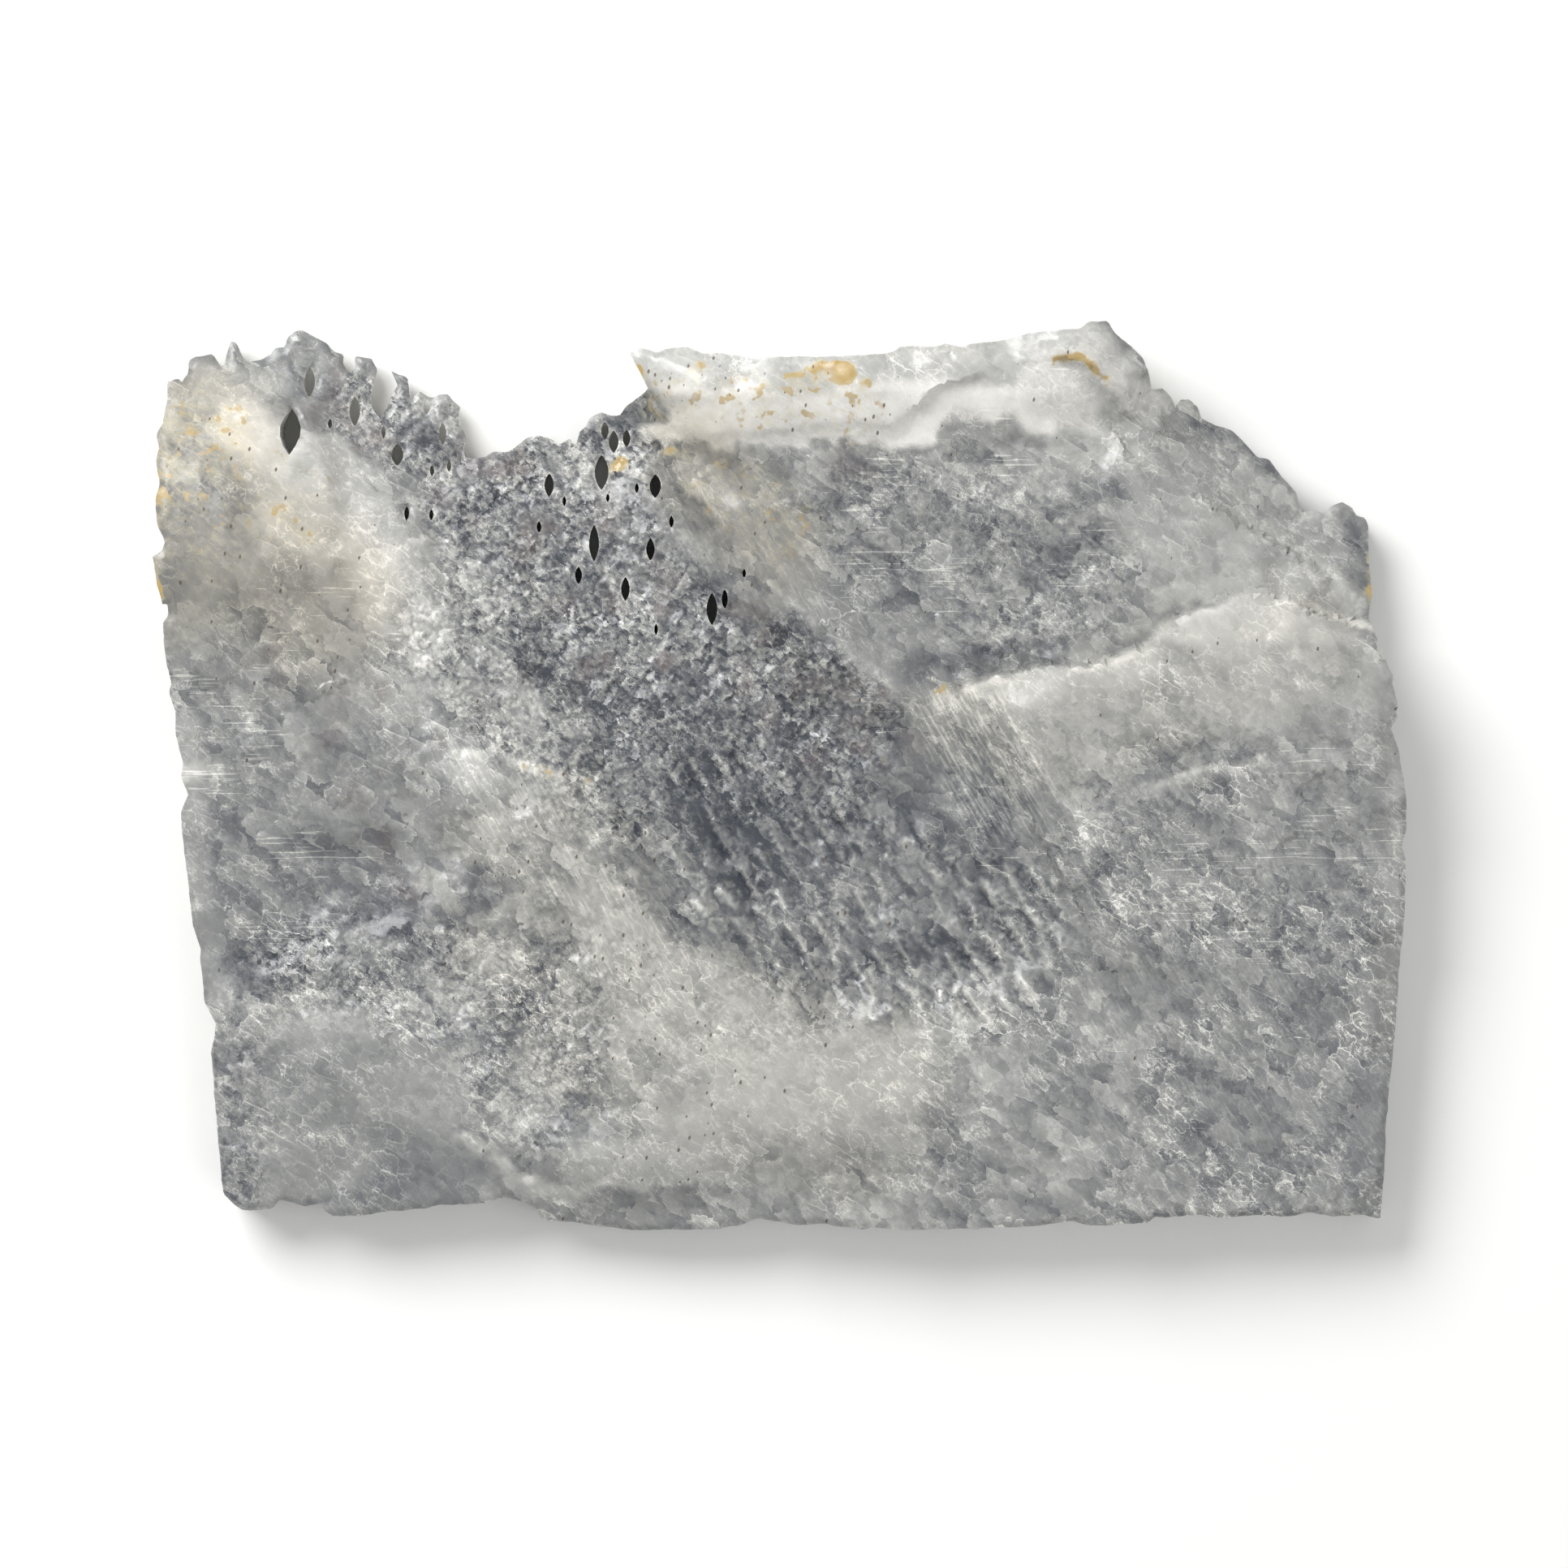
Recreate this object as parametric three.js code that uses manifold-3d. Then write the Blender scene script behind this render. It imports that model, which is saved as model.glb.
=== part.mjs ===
// A natural slab of selenite, the clear, cleavable form of gypsum, lying on its flat cleavage back.
// Its front is an etched relief: a worn valley between two banks, stepped ledges where cleavage
// plates end, a skeletal rim of spikes, and lens-shaped holes dissolved right through the thin parts.
// Millimetres. +X runs along the slab's width, +Y along its height, +Z out of its front face.
// The origin is the middle of the slab's outline, on the plane of the back.
import * as THREE from "three";
import { mergeVertices } from "three/addons/utils/BufferGeometryUtils.js";
import Module from "manifold-3d";

const wasm = await Module();
wasm.setup();

// ---- Driving dimensions ----

const slab = {
  width: 246.7, // the outline's longest extent
  tallest: 31.5, // the highest that the front stands above the back, before its ledges
  thinnest: 4.5, // and the lowest
};

// Places on the slab are given in drawing units: u runs to the right and v runs down the drawing.
const drawing = { left: 191, right: 1733, top: 399, bottom: 1518 };
const mmPerUnit = slab.width / (drawing.right - drawing.left);
const middle = { u: (drawing.left + drawing.right) / 2, v: (drawing.top + drawing.bottom) / 2 };

const relief = {
  pitch: 4.7, // spacing of the points that the front is worked from
  jitter: 0.32, // how far a point strays, as a share of the pitch
  roughness: 0.75, // how far a point's height strays
  reach: 26, // drawing units over which one spot height hands over to the next
};

// The side is a book of cleavage plates: the plates under and over the middle one are worn back.
const plates = [
  { from: -1, to: 3.6, wornBack: 1.3, seed: 11 },
  { from: 3.4, to: 13.2, wornBack: 0, seed: 0 },
  { from: 13, to: 40, wornBack: 1.1, seed: 23 },
];

// ---- Outline, in runs that follow one another clockwise ----

const spikyRim = [
  [202, 468], [216, 463], [220, 470], [227, 458], [227, 440], [235, 435], [258, 432], [264, 441],
  [269, 450], [273, 440], [275, 428], [279, 416], [287, 417], [294, 433], [301, 442], [318, 439],
  [329, 431], [335, 424], [346, 423], [350, 411], [358, 404], [369, 402], [379, 407], [398, 417],
  [410, 430], [421, 432], [420, 443], [428, 456], [434, 447], [433, 434], [456, 437], [463, 452],
  [458, 470], [454, 490], [458, 502], [465, 511], [473, 499], [477, 486], [485, 471], [478, 453],
  [500, 461], [502, 478], [504, 489], [514, 477], [524, 484], [532, 486], [540, 482], [550, 482],
  [556, 490], [566, 497], [564, 510], [573, 538], [570, 549], [571, 560],
];
const wornBay = [
  [584, 562], [597, 559], [606, 553], [622, 554], [634, 546], [646, 536], [662, 533], [678, 537],
  [688, 544], [702, 536], [701, 549], [708, 544], [711, 529], [720, 522], [724, 511], [741, 504],
  [750, 509], [762, 508], [770, 497], [784, 489], [798, 481],
];
const topLedge = [
  [786, 459], [775, 438], [790, 431], [810, 436], [827, 431], [848, 430], [866, 438], [890, 438],
  [920, 443], [985, 443], [1030, 443], [1084, 440], [1099, 437], [1108, 430], [1148, 431],
  [1163, 427], [1186, 433], [1192, 427], [1232, 422], [1270, 413], [1326, 409], [1338, 400],
  [1362, 399], [1371, 414], [1394, 430], [1408, 446], [1415, 464], [1418, 481],
];
const scalyRim = [
  [1433, 478], [1442, 486], [1449, 503], [1454, 491], [1466, 490], [1477, 500], [1482, 513],
  [1500, 522], [1521, 528], [1540, 547], [1552, 561], [1567, 563], [1584, 586], [1600, 604],
  [1608, 628], [1624, 625], [1632, 630], [1645, 620], [1656, 616], [1669, 623], [1675, 633],
  [1686, 636], [1690, 645], [1691, 700], [1694, 733], [1687, 768],
];
const rightEdge = [
  [1700, 800], [1714, 835], [1712, 842], [1718, 863], [1722, 879], [1712, 898], [1722, 925],
  [1729, 960], [1733, 1005], [1732, 1025], [1727, 1043], [1732, 1060], [1731, 1110], [1729, 1155],
  [1725, 1192], [1723, 1235], [1720, 1280], [1714, 1330], [1709, 1380], [1709, 1400], [1706, 1470],
  [1703, 1504],
];
const bottomEdge = [
  [1680, 1498], [1640, 1501], [1615, 1494], [1590, 1499], [1530, 1498], [1510, 1502], [1480, 1497],
  [1432, 1501], [1424, 1498], [1414, 1507], [1340, 1511], [1320, 1505], [1285, 1511], [1200, 1515],
  [1105, 1517], [1075, 1513], [1060, 1516], [1010, 1509], [985, 1511], [950, 1505], [934, 1502],
  [914, 1512], [880, 1517], [780, 1518], [740, 1514], [706, 1508], [676, 1507], [664, 1502],
  [661, 1491], [645, 1482], [620, 1477], [598, 1484], [545, 1486], [518, 1491], [465, 1495],
  [450, 1500], [408, 1500], [396, 1491], [400, 1483], [375, 1489], [344, 1480], [335, 1491],
  [300, 1494], [286, 1486], [273, 1472],
];
const leftEdge = [
  [268, 1420], [262, 1350], [258, 1296], [265, 1262], [250, 1236], [244, 1180], [245, 1170],
  [236, 1140], [230, 1090], [223, 1030], [221, 1000], [230, 979], [222, 955], [224, 940],
  [215, 905], [215, 876], [208, 855], [211, 841], [206, 820], [203, 768], [210, 760], [209, 744],
  [203, 747], [197, 722], [191, 687], [203, 680], [207, 669], [197, 650], [195, 618], [199, 597],
  [194, 570], [198, 552], [193, 538], [201, 522], [203, 490],
];
const outlineRuns = [
  { points: spikyRim, wears: false },
  { points: wornBay, wears: false },
  { points: topLedge, wears: true },
  { points: scalyRim, wears: false },
  { points: rightEdge, wears: true },
  { points: bottomEdge, wears: true },
  { points: leftEdge, wears: true },
];

// ---- Spot heights of the front above the back: [u, v, height in mm] ----

const spotHeights = [
  // the skeletal rim, a thin plate
  [212, 478, 7.5], [250, 448, 5.6], [285, 438, 5.2], [330, 448, 5.6], [372, 425, 5.4],
  [412, 455, 5.6], [448, 452, 5.2], [440, 500, 6], [490, 478, 5.2], [525, 500, 5.6],
  [558, 515, 5.4], [560, 550, 5.8], [500, 545, 6.4], [462, 558, 8], [520, 580, 7.2],
  // the white shoulder
  [218, 520, 19], [262, 512, 23], [305, 528, 22], [345, 575, 20], [222, 590, 25], [300, 600, 27.5],
  [380, 625, 24], [445, 650, 19], [225, 690, 25], [320, 700, 28], [400, 705, 26], [470, 720, 21],
  [530, 750, 17], [250, 790, 23], [360, 800, 24], [460, 810, 21], [560, 820, 17.5], [640, 880, 16],
  // the valley, from the bay down to its round foot
  [600, 585, 7.2], [660, 562, 5.8], [700, 560, 5.8], [560, 630, 10], [640, 650, 9.2],
  [720, 620, 7.4], [745, 540, 5.8], [785, 515, 6.6], [600, 710, 12], [690, 740, 11], [770, 700, 9.5], [830, 650, 11.5],
  [840, 740, 10.5], [720, 830, 12], [820, 830, 11], [920, 830, 12], [800, 910, 12], [900, 930, 11],
  [1000, 900, 12], [1070, 910, 14], [880, 1010, 12.5], [980, 1010, 11.5], [1090, 1010, 13],
  [960, 1100, 13], [1070, 1110, 12.5], [1180, 1110, 14], [1010, 1180, 14], [1130, 1190, 14],
  [1230, 1160, 15],
  // its right bank
  [880, 600, 18], [930, 650, 21], [985, 720, 21.5], [1050, 790, 21], [1110, 850, 20],
  [1150, 930, 17], [1210, 1020, 18], [1270, 1110, 18.5],
  // the ledge along the top
  [800, 462, 25], [860, 480, 30], [950, 472, 31.5], [1060, 478, 31], [1150, 460, 29.5],
  [1250, 445, 30], [1330, 440, 30], [1385, 465, 27], [900, 540, 25.5], [1010, 550, 25],
  [1120, 550, 24.5],
  // the plateau under it
  [1080, 620, 22.5], [1190, 610, 22], [1290, 610, 22.5], [1360, 600, 24], [1070, 700, 20.5],
  [1180, 700, 19.5], [1290, 700, 19.5], [1390, 690, 22], [1140, 790, 19.5], [1250, 780, 19.5],
  [1360, 760, 20.5], [1450, 700, 23], [1530, 700, 22],
  // the scaly rim
  [1432, 505, 17], [1470, 525, 12], [1520, 565, 10], [1565, 595, 9], [1605, 640, 8.5],
  [1645, 650, 9], [1680, 680, 9.5], [1420, 570, 22], [1480, 610, 18], [1545, 645, 15],
  [1600, 690, 14], [1660, 730, 13], [1600, 745, 18],
  // the right-hand block, without its ledge
  [1300, 890, 22.5], [1450, 870, 23], [1600, 860, 23], [1695, 900, 20], [1400, 1000, 22],
  [1550, 1020, 22], [1690, 1050, 20], [1350, 1130, 21], [1480, 1150, 21], [1620, 1180, 21],
  [1400, 1270, 19.5], [1560, 1310, 19.5], [1690, 1320, 17.5], [1290, 1350, 19], [1450, 1430, 18.5],
  [1610, 1450, 18], [1692, 1470, 15.5],
  // the left bank and the hollow behind it
  [232, 900, 18.5], [320, 900, 20], [420, 910, 20], [520, 900, 20], [590, 950, 22.5],
  [240, 1000, 16.5], [340, 1000, 17.5], [440, 1000, 18], [650, 1030, 23.5], [710, 1090, 24],
  [780, 1170, 23], [660, 1160, 20], [265, 1110, 15.5], [360, 1090, 15], [460, 1080, 15],
  [550, 1070, 17.5], [870, 1225, 21], [960, 1265, 20], [1110, 1260, 18.5], [1250, 1245, 18.5],
  [560, 1190, 17.5], [450, 1190, 16.5], [340, 1210, 14.5],
  // the foot of the slab
  [280, 1270, 15], [330, 1320, 15.5], [430, 1300, 18.5], [540, 1310, 19], [640, 1300, 20],
  [740, 1300, 22], [850, 1320, 22], [980, 1340, 20.5], [1120, 1350, 19.5], [300, 1420, 14.5],
  [400, 1410, 16], [520, 1410, 15.5], [620, 1400, 17], [700, 1410, 20], [790, 1400, 21.5],
  [960, 1430, 18], [1120, 1440, 18], [310, 1475, 13], [430, 1475, 14.5], [560, 1465, 15],
  [690, 1500, 11.5], [790, 1495, 12.5], [880, 1495, 13], [1020, 1490, 16.5], [1220, 1480, 17],
  [1220, 1400, 18.5],
];

// ---- Ledges, where a cleavage plate ends in a step ----
// Each stands up by its rise along its edge and fades into the front over its fade, in drawing units.
// The edge and the points behind it close the region that the plate covers.

const ledges = {
  chiselTop: {
    rise: 2.6, fade: 150,
    edge: [
      [760, 400], [775, 438], [786, 459], [797, 480], [808, 502], [820, 522], [834, 534], [862, 541],
      [930, 538], [1010, 530], [1060, 527], [1100, 528], [1128, 508], [1152, 484], [1200, 470],
      [1240, 456], [1300, 446], [1342, 458], [1362, 486], [1384, 512], [1430, 540],
    ],
    behind: [[1430, 380], [760, 380]],
  },
  whiteBlock: {
    rise: 8, fade: 330,
    edge: [
      [1268, 1010], [1252, 946], [1228, 902], [1214, 872], [1180, 858], [1176, 843], [1204, 836],
      [1249, 824], [1291, 818], [1345, 820], [1366, 809], [1415, 797], [1440, 780], [1444, 763],
      [1466, 752], [1502, 737], [1556, 729], [1589, 741], [1614, 756], [1647, 764], [1700, 770],
    ],
    behind: [[1760, 1300], [1430, 1300]],
  },
  lowerPlate: {
    rise: 2.8, fade: 170,
    edge: [
      [1330, 1040], [1372, 1000], [1415, 965], [1440, 957], [1469, 964], [1494, 948], [1523, 939],
      [1556, 930], [1620, 926], [1700, 900],
    ],
    behind: [[1700, 790], [1330, 850]],
  },
  bankCrest: {
    rise: 2.4, fade: 110,
    edge: [
      [1225, 852], [1262, 920], [1291, 957], [1324, 1007], [1345, 1052], [1366, 1102],
      [1376, 1130], [1399, 1190],
    ],
    behind: [[1540, 1190], [1400, 880]],
  },
  veinStep: {
    rise: 1.9, fade: 120,
    edge: [
      [262, 1236], [300, 1204], [340, 1190], [372, 1172], [414, 1160], [452, 1140], [500, 1124],
      [546, 1104], [600, 1096], [640, 1112],
    ],
    behind: [[700, 1260], [280, 1330]],
  },
  footStep: {
    rise: 3.2, fade: 150,
    edge: [
      [1090, 1431], [1000, 1434], [905, 1433], [884, 1438], [868, 1456], [826, 1466], [802, 1453],
      [762, 1459], [748, 1470], [722, 1474], [690, 1478], [652, 1454], [610, 1424], [570, 1400],
    ],
    behind: [[600, 1250], [1090, 1250]],
  },
  slopingPlate: {
    rise: 2.6, fade: 120,
    edge: [
      [1376, 540], [1392, 566], [1420, 588], [1462, 602], [1500, 624], [1530, 648], [1566, 664],
      [1604, 688], [1640, 712],
    ],
    behind: [[1560, 800], [1340, 640]],
  },
  shoulderLobe: {
    rise: 1.6, fade: 90,
    edge: [
      [262, 690], [268, 650], [276, 631], [300, 623], [332, 624], [352, 640], [382, 668],
      [420, 690],
    ],
    behind: [[400, 790], [270, 780]],
  },
  paleOval: {
    rise: 1.3, fade: 90,
    edge: [
      [536, 984], [528, 962], [540, 940], [566, 929], [598, 934], [624, 952], [630, 972],
      [610, 992], [574, 1000], [550, 998],
    ],
    behind: [],
  },
};

// ---- Lens-shaped holes through the thin parts: [u, v, height, width] in drawing units ----

const lensHoles = [
  [358, 532, 60, 23], [378, 468, 38, 13], [434, 504, 38, 13], [487, 558, 28, 15], [543, 532, 28, 9],
  [740, 580, 44, 17], [755, 542, 28, 12], [744, 528, 22, 9], [771, 538, 22, 9], [675, 596, 30, 11],
  [807, 598, 30, 14], [801, 676, 28, 10], [731, 668, 46, 12], [770, 725, 30, 10], [877, 750, 40, 13],
  [712, 708, 22, 8], [523, 498, 20, 8], [893, 738, 24, 7],
];

// ---- Shallow recesses in the back, where its last thin plates have split away ----

const backRecesses = [
  {
    depth: 2.1,
    points: [[150, 380], [620, 380], [640, 560], [520, 640], [420, 600], [300, 520], [150, 470]],
  },
  {
    depth: 1.4,
    points: [
      [1380, 380], [1800, 380], [1800, 930], [1690, 900], [1640, 760], [1500, 640], [1400, 560],
    ],
  },
  {
    depth: 1.7,
    points: [[640, 1560], [660, 1450], [820, 1430], [1000, 1462], [1180, 1450], [1240, 1560]],
  },
  {
    depth: 1.1,
    points: [
      [150, 1180], [290, 1170], [330, 1290], [300, 1400], [420, 1450], [440, 1560], [150, 1560],
    ],
  },
];

// ---- Small helpers ----

const toX = (u) => (u - middle.u) * mmPerUnit;
const toY = (v) => (middle.v - v) * mmPerUnit;

// The same number from 0 to 1 each time for the same three whole numbers.
function steadyRandom(i, j, seed) {
  const s = Math.sin(i * 127.1 + j * 311.7 + seed * 74.7) * 43758.5453;
  return s - Math.floor(s);
}

function distanceToLine(u, v, line) {
  let nearest = Infinity;
  for (let i = 1; i < line.length; i++) {
    const [u0, v0] = line[i - 1];
    const [du, dv] = [line[i][0] - u0, line[i][1] - v0];
    const along = THREE.MathUtils.clamp(((u - u0) * du + (v - v0) * dv) / (du * du + dv * dv), 0, 1);
    nearest = Math.min(nearest, Math.hypot(u - u0 - along * du, v - v0 - along * dv));
  }
  return nearest;
}

function solidFrom(geometry) {
  geometry.deleteAttribute("normal");
  geometry.deleteAttribute("uv");
  const merged = mergeVertices(geometry, 1e-4);
  return new wasm.Manifold(
    new wasm.Mesh({
      numProp: 3,
      vertProperties: merged.attributes.position.array,
      triVerts: new Uint32Array(merged.index.array),
    }),
  );
}

function geometryFrom(solid) {
  const mesh = solid.getMesh();
  const geometry = new THREE.BufferGeometry();
  geometry.setAttribute("position", new THREE.BufferAttribute(mesh.vertProperties, 3));
  geometry.setIndex(new THREE.BufferAttribute(mesh.triVerts, 1));
  geometry.computeVertexNormals();
  return geometry;
}

// An upright prism over a closed line of drawing points.
function prism(points, from, to) {
  const shape = new THREE.Shape(points.map(([u, v]) => new THREE.Vector2(toX(u), toY(v))));
  const geometry = new THREE.ExtrudeGeometry(shape, { depth: to - from, bevelEnabled: false });
  return solidFrom(geometry.translate(0, 0, from));
}

// ---- The front's height ----

const roundedEdges = [
  { line: leftEdge.filter(([, v]) => v > 780), radius: 38, drop: 7 },
  { line: rightEdge, radius: 42, drop: 7.5 },
  { line: bottomEdge.filter(([u]) => u > 940), radius: 16, drop: 3 },
  { line: topLedge.slice(3), radius: 22, drop: 9 },
];

function frontHeight(u, v) {
  let weights = 0;
  let sum = 0;
  for (const [spotU, spotV, height] of spotHeights) {
    const weight = ((u - spotU) ** 2 + (v - spotV) ** 2 + relief.reach ** 2) ** -2;
    weights += weight;
    sum += weight * height;
  }
  let height = sum / weights;
  for (const { line, radius, drop } of roundedEdges) {
    const inward = Math.min(distanceToLine(u, v, line) / radius, 1);
    height -= drop * (1 - Math.sqrt(1 - (1 - inward) ** 2));
  }
  return height;
}

// The jittered grid of drawing points that every relief is worked from, so that their facets agree.
const gridPoints = (() => {
  const step = relief.pitch / mmPerUnit;
  const columns = Math.ceil((drawing.right - drawing.left) / step) + 3;
  const rows = Math.ceil((drawing.bottom - drawing.top) / step) + 3;
  const points = [];
  for (let j = 0; j < rows; j++) {
    for (let i = 0; i < columns; i++) {
      const inside = i > 0 && j > 0 && i < columns - 1 && j < rows - 1;
      const stray = inside ? relief.jitter * step : 0;
      points.push([
        drawing.left + (i - 1) * step + stray * (2 * steadyRandom(i, j, 1) - 1),
        drawing.top + (j - 1) * step + stray * (2 * steadyRandom(i, j, 2) - 1),
        relief.roughness * (2 * steadyRandom(i, j, 3) - 1),
      ]);
    }
  }
  return { columns, rows, points };
})();

// A block with a flat underside and the given height over each grid point.
function reliefBlock(heightAt) {
  const { columns, rows, points } = gridPoints;
  const underside = -2;
  const positions = [];
  for (const [u, v, stray] of points) positions.push(toX(u), toY(v), heightAt(u, v) + stray);
  for (const [u, v] of points) positions.push(toX(u), toY(v), underside);
  const below = columns * rows;
  const index = [];
  for (let j = 0; j < rows - 1; j++) {
    for (let i = 0; i < columns - 1; i++) {
      const [a, b] = [j * columns + i, j * columns + i + 1];
      const [c, d] = [a + columns, b + columns];
      const faces = steadyRandom(i, j, 4) < 0.5 ? [a, c, b, b, c, d] : [a, c, d, a, d, b];
      index.push(...faces);
      for (let k = 0; k < 6; k += 3) {
        index.push(faces[k] + below, faces[k + 2] + below, faces[k + 1] + below);
      }
    }
  }
  const wall = (a, b) => index.push(a, b, b + below, a, b + below, a + below);
  for (let i = 0; i < columns - 1; i++) {
    wall(i, i + 1);
    wall((rows - 1) * columns + i + 1, (rows - 1) * columns + i);
  }
  for (let j = 0; j < rows - 1; j++) {
    wall((j + 1) * columns, j * columns);
    wall(j * columns + columns - 1, (j + 1) * columns + columns - 1);
  }
  const geometry = new THREE.BufferGeometry();
  geometry.setAttribute("position", new THREE.Float32BufferAttribute(positions, 3));
  geometry.setIndex(index);
  return solidFrom(geometry);
}

// ---- Putting the slab together ----

const clampHeight = (height) => THREE.MathUtils.clamp(height, slab.thinnest, slab.tallest);

function frontWithLedges() {
  const hidden = 0.25; // how far a faded ledge lies under the front, so that the two never coincide
  let front = reliefBlock((u, v) => clampHeight(frontHeight(u, v)));
  for (const { rise, fade, edge, behind } of Object.values(ledges)) {
    const raised = reliefBlock((u, v) => {
      const faded = THREE.MathUtils.smoothstep(distanceToLine(u, v, edge) / fade, 0, 1);
      return clampHeight(frontHeight(u, v)) + (rise + hidden) * (1 - faded) - hidden;
    });
    front = front.add(raised.intersect(prism([...edge, ...behind], -3, 50)));
  }
  return front;
}

function wornOutline(wornBack, seed) {
  const points = [];
  for (const run of outlineRuns) {
    for (const [u, v] of run.points) points.push({ u, v, wears: run.wears });
  }
  return points.map(({ u, v, wears }, i) => {
    const before = points[(i + points.length - 1) % points.length];
    const after = points[(i + 1) % points.length];
    const [du, dv] = [after.u - before.u, after.v - before.v];
    const back = wears ? (wornBack * steadyRandom(i, 7, seed)) / mmPerUnit : 0;
    const length = Math.hypot(du, dv);
    return [u - (dv / length) * back, v + (du / length) * back];
  });
}

function lensHole([u, v, tall, wide]) {
  const steps = 5; // straight stretches on each curved side
  const points = [];
  for (let i = 0; i < 2 * steps; i++) {
    const side = i < steps ? 1 : -1;
    const along = ((i % steps) / steps) * side - side / 2;
    points.push([u + side * (wide / 2) * Math.cos(Math.PI * along) ** 0.85, v + tall * along]);
  }
  return prism(points, -3, 50);
}

const book = plates
  .map(({ from, to, wornBack, seed }) => prism(wornOutline(wornBack, seed), from, to))
  .reduce((whole, plate) => whole.add(plate));
const floorCut = prism([[0, 0], [2000, 0], [2000, 2000], [0, 2000]], 0, 60);

let body = frontWithLedges().intersect(book).intersect(floorCut);
for (const hole of lensHoles) body = body.subtract(lensHole(hole));
for (const { depth, points } of backRecesses) body = body.subtract(prism(points, -3, depth));

const selenite = new THREE.MeshStandardMaterial({
  name: "cloudy_selenite",
  color: 0xc9cbcb,
  roughness: 0.45,
  metalness: 0,
});

const slabMesh = new THREE.Mesh(geometryFrom(body), selenite);
slabMesh.name = "selenite_slab";

const part = new THREE.Group();
part.add(slabMesh);

export default part;
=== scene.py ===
import math

import bmesh
import bpy
import numpy as np
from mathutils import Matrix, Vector
from mathutils.bvhtree import BVHTree
from mathutils.geometry import delaunay_2d_cdt
from mathutils.kdtree import KDTree


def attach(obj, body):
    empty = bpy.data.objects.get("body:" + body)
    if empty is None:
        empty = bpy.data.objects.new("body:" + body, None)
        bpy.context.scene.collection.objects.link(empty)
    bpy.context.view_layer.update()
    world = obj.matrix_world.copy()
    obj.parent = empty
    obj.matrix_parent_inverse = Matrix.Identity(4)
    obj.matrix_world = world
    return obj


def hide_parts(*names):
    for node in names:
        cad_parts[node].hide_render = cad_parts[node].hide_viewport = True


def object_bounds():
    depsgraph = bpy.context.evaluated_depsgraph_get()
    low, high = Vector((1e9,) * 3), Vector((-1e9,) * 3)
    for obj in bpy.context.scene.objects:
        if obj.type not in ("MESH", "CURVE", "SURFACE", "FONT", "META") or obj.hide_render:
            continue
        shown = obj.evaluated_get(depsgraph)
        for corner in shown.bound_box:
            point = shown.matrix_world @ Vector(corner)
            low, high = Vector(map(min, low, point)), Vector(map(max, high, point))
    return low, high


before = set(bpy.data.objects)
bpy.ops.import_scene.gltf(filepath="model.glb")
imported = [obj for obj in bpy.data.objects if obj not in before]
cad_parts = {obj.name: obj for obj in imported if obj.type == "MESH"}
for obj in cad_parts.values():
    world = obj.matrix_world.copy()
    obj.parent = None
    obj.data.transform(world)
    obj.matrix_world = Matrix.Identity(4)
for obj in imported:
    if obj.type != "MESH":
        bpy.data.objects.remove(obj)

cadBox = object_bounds()
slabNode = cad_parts["selenite_slab"]

# Places on the slab are given in drawing units: u runs to the right and v runs down.
drawing = {"metresPerUnit": 0.2467 / 1542, "middleU": 962.0, "middleV": 958.5}


def toMetres(points):
    scale = drawing["metresPerUnit"]
    points = np.asarray(points, float)
    return np.stack([(points[..., 0] - drawing["middleU"]) * scale,
                     (drawing["middleV"] - points[..., 1]) * scale], -1)


def toDrawing(x, y):
    scale = drawing["metresPerUnit"]
    return x / scale + drawing["middleU"], drawing["middleV"] - y / scale


def hashed(i, j, seed):
    # a steady value from 0 to 1 for each whole-number cell, which all noise here starts from
    i, j = i.astype(np.int64), j.astype(np.int64)
    h = (i * 374761393 + j * 668265263 + seed * 362437) & 0xFFFFFFFF
    h = ((h ^ (h >> 13)) * 1274126177) & 0xFFFFFFFF
    return ((h ^ (h >> 16)) & 0xFFFFFF) / float(0x1000000)


def softNoise(u, v, size, seed, layers=1, fade=0.5):
    # from about -1 to 1
    total, weight, amount = 0.0, 0.0, 1.0
    for layer in range(layers):
        x, y = u / size, v / size
        i, j = np.floor(x), np.floor(y)
        fx, fy = x - i, y - j
        fx, fy = fx * fx * (3 - 2 * fx), fy * fy * (3 - 2 * fy)
        s = seed + 17 * layer
        low = hashed(i, j, s) * (1 - fx) + hashed(i + 1, j, s) * fx
        high = hashed(i, j + 1, s) * (1 - fx) + hashed(i + 1, j + 1, s) * fx
        total = total + amount * ((low * (1 - fy) + high * fy) * 2 - 1)
        weight += amount
        amount *= fade
        size = size / 2.03
    return total / weight


def shards(u, v, size, seed, tilt=1.5):
    # broken crystal, from about -1 to 1: each point takes the height and slope of its
    # nearest shard
    x, y = u / size, v / size
    ci, cj = np.floor(x), np.floor(y)
    nearest = np.full(np.shape(x), 9.0)
    height = np.zeros(np.shape(x))
    for dj in (-1, 0, 1):
        for di in (-1, 0, 1):
            i, j = ci + di, cj + dj
            dx = x - i - 0.5 - 0.85 * (hashed(i, j, seed) - 0.5)
            dy = y - j - 0.5 - 0.85 * (hashed(i, j, seed + 1) - 0.5)
            away = dx * dx + dy * dy
            slopeX, slopeY = hashed(i, j, seed + 3) - 0.5, hashed(i, j, seed + 4) - 0.5
            own = (hashed(i, j, seed + 2) * 2 - 1) * 0.55
            own = own + tilt * (dx * slopeX + dy * slopeY)
            closer = away < nearest
            nearest = np.where(closer, away, nearest)
            height = np.where(closer, own, height)
    return height


def turned(u, v, degrees):
    # (along, across) a direction that points this far below the drawing's right
    c, s = math.cos(math.radians(degrees)), math.sin(math.radians(degrees))
    return u * c + v * s, v * c - u * s


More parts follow.
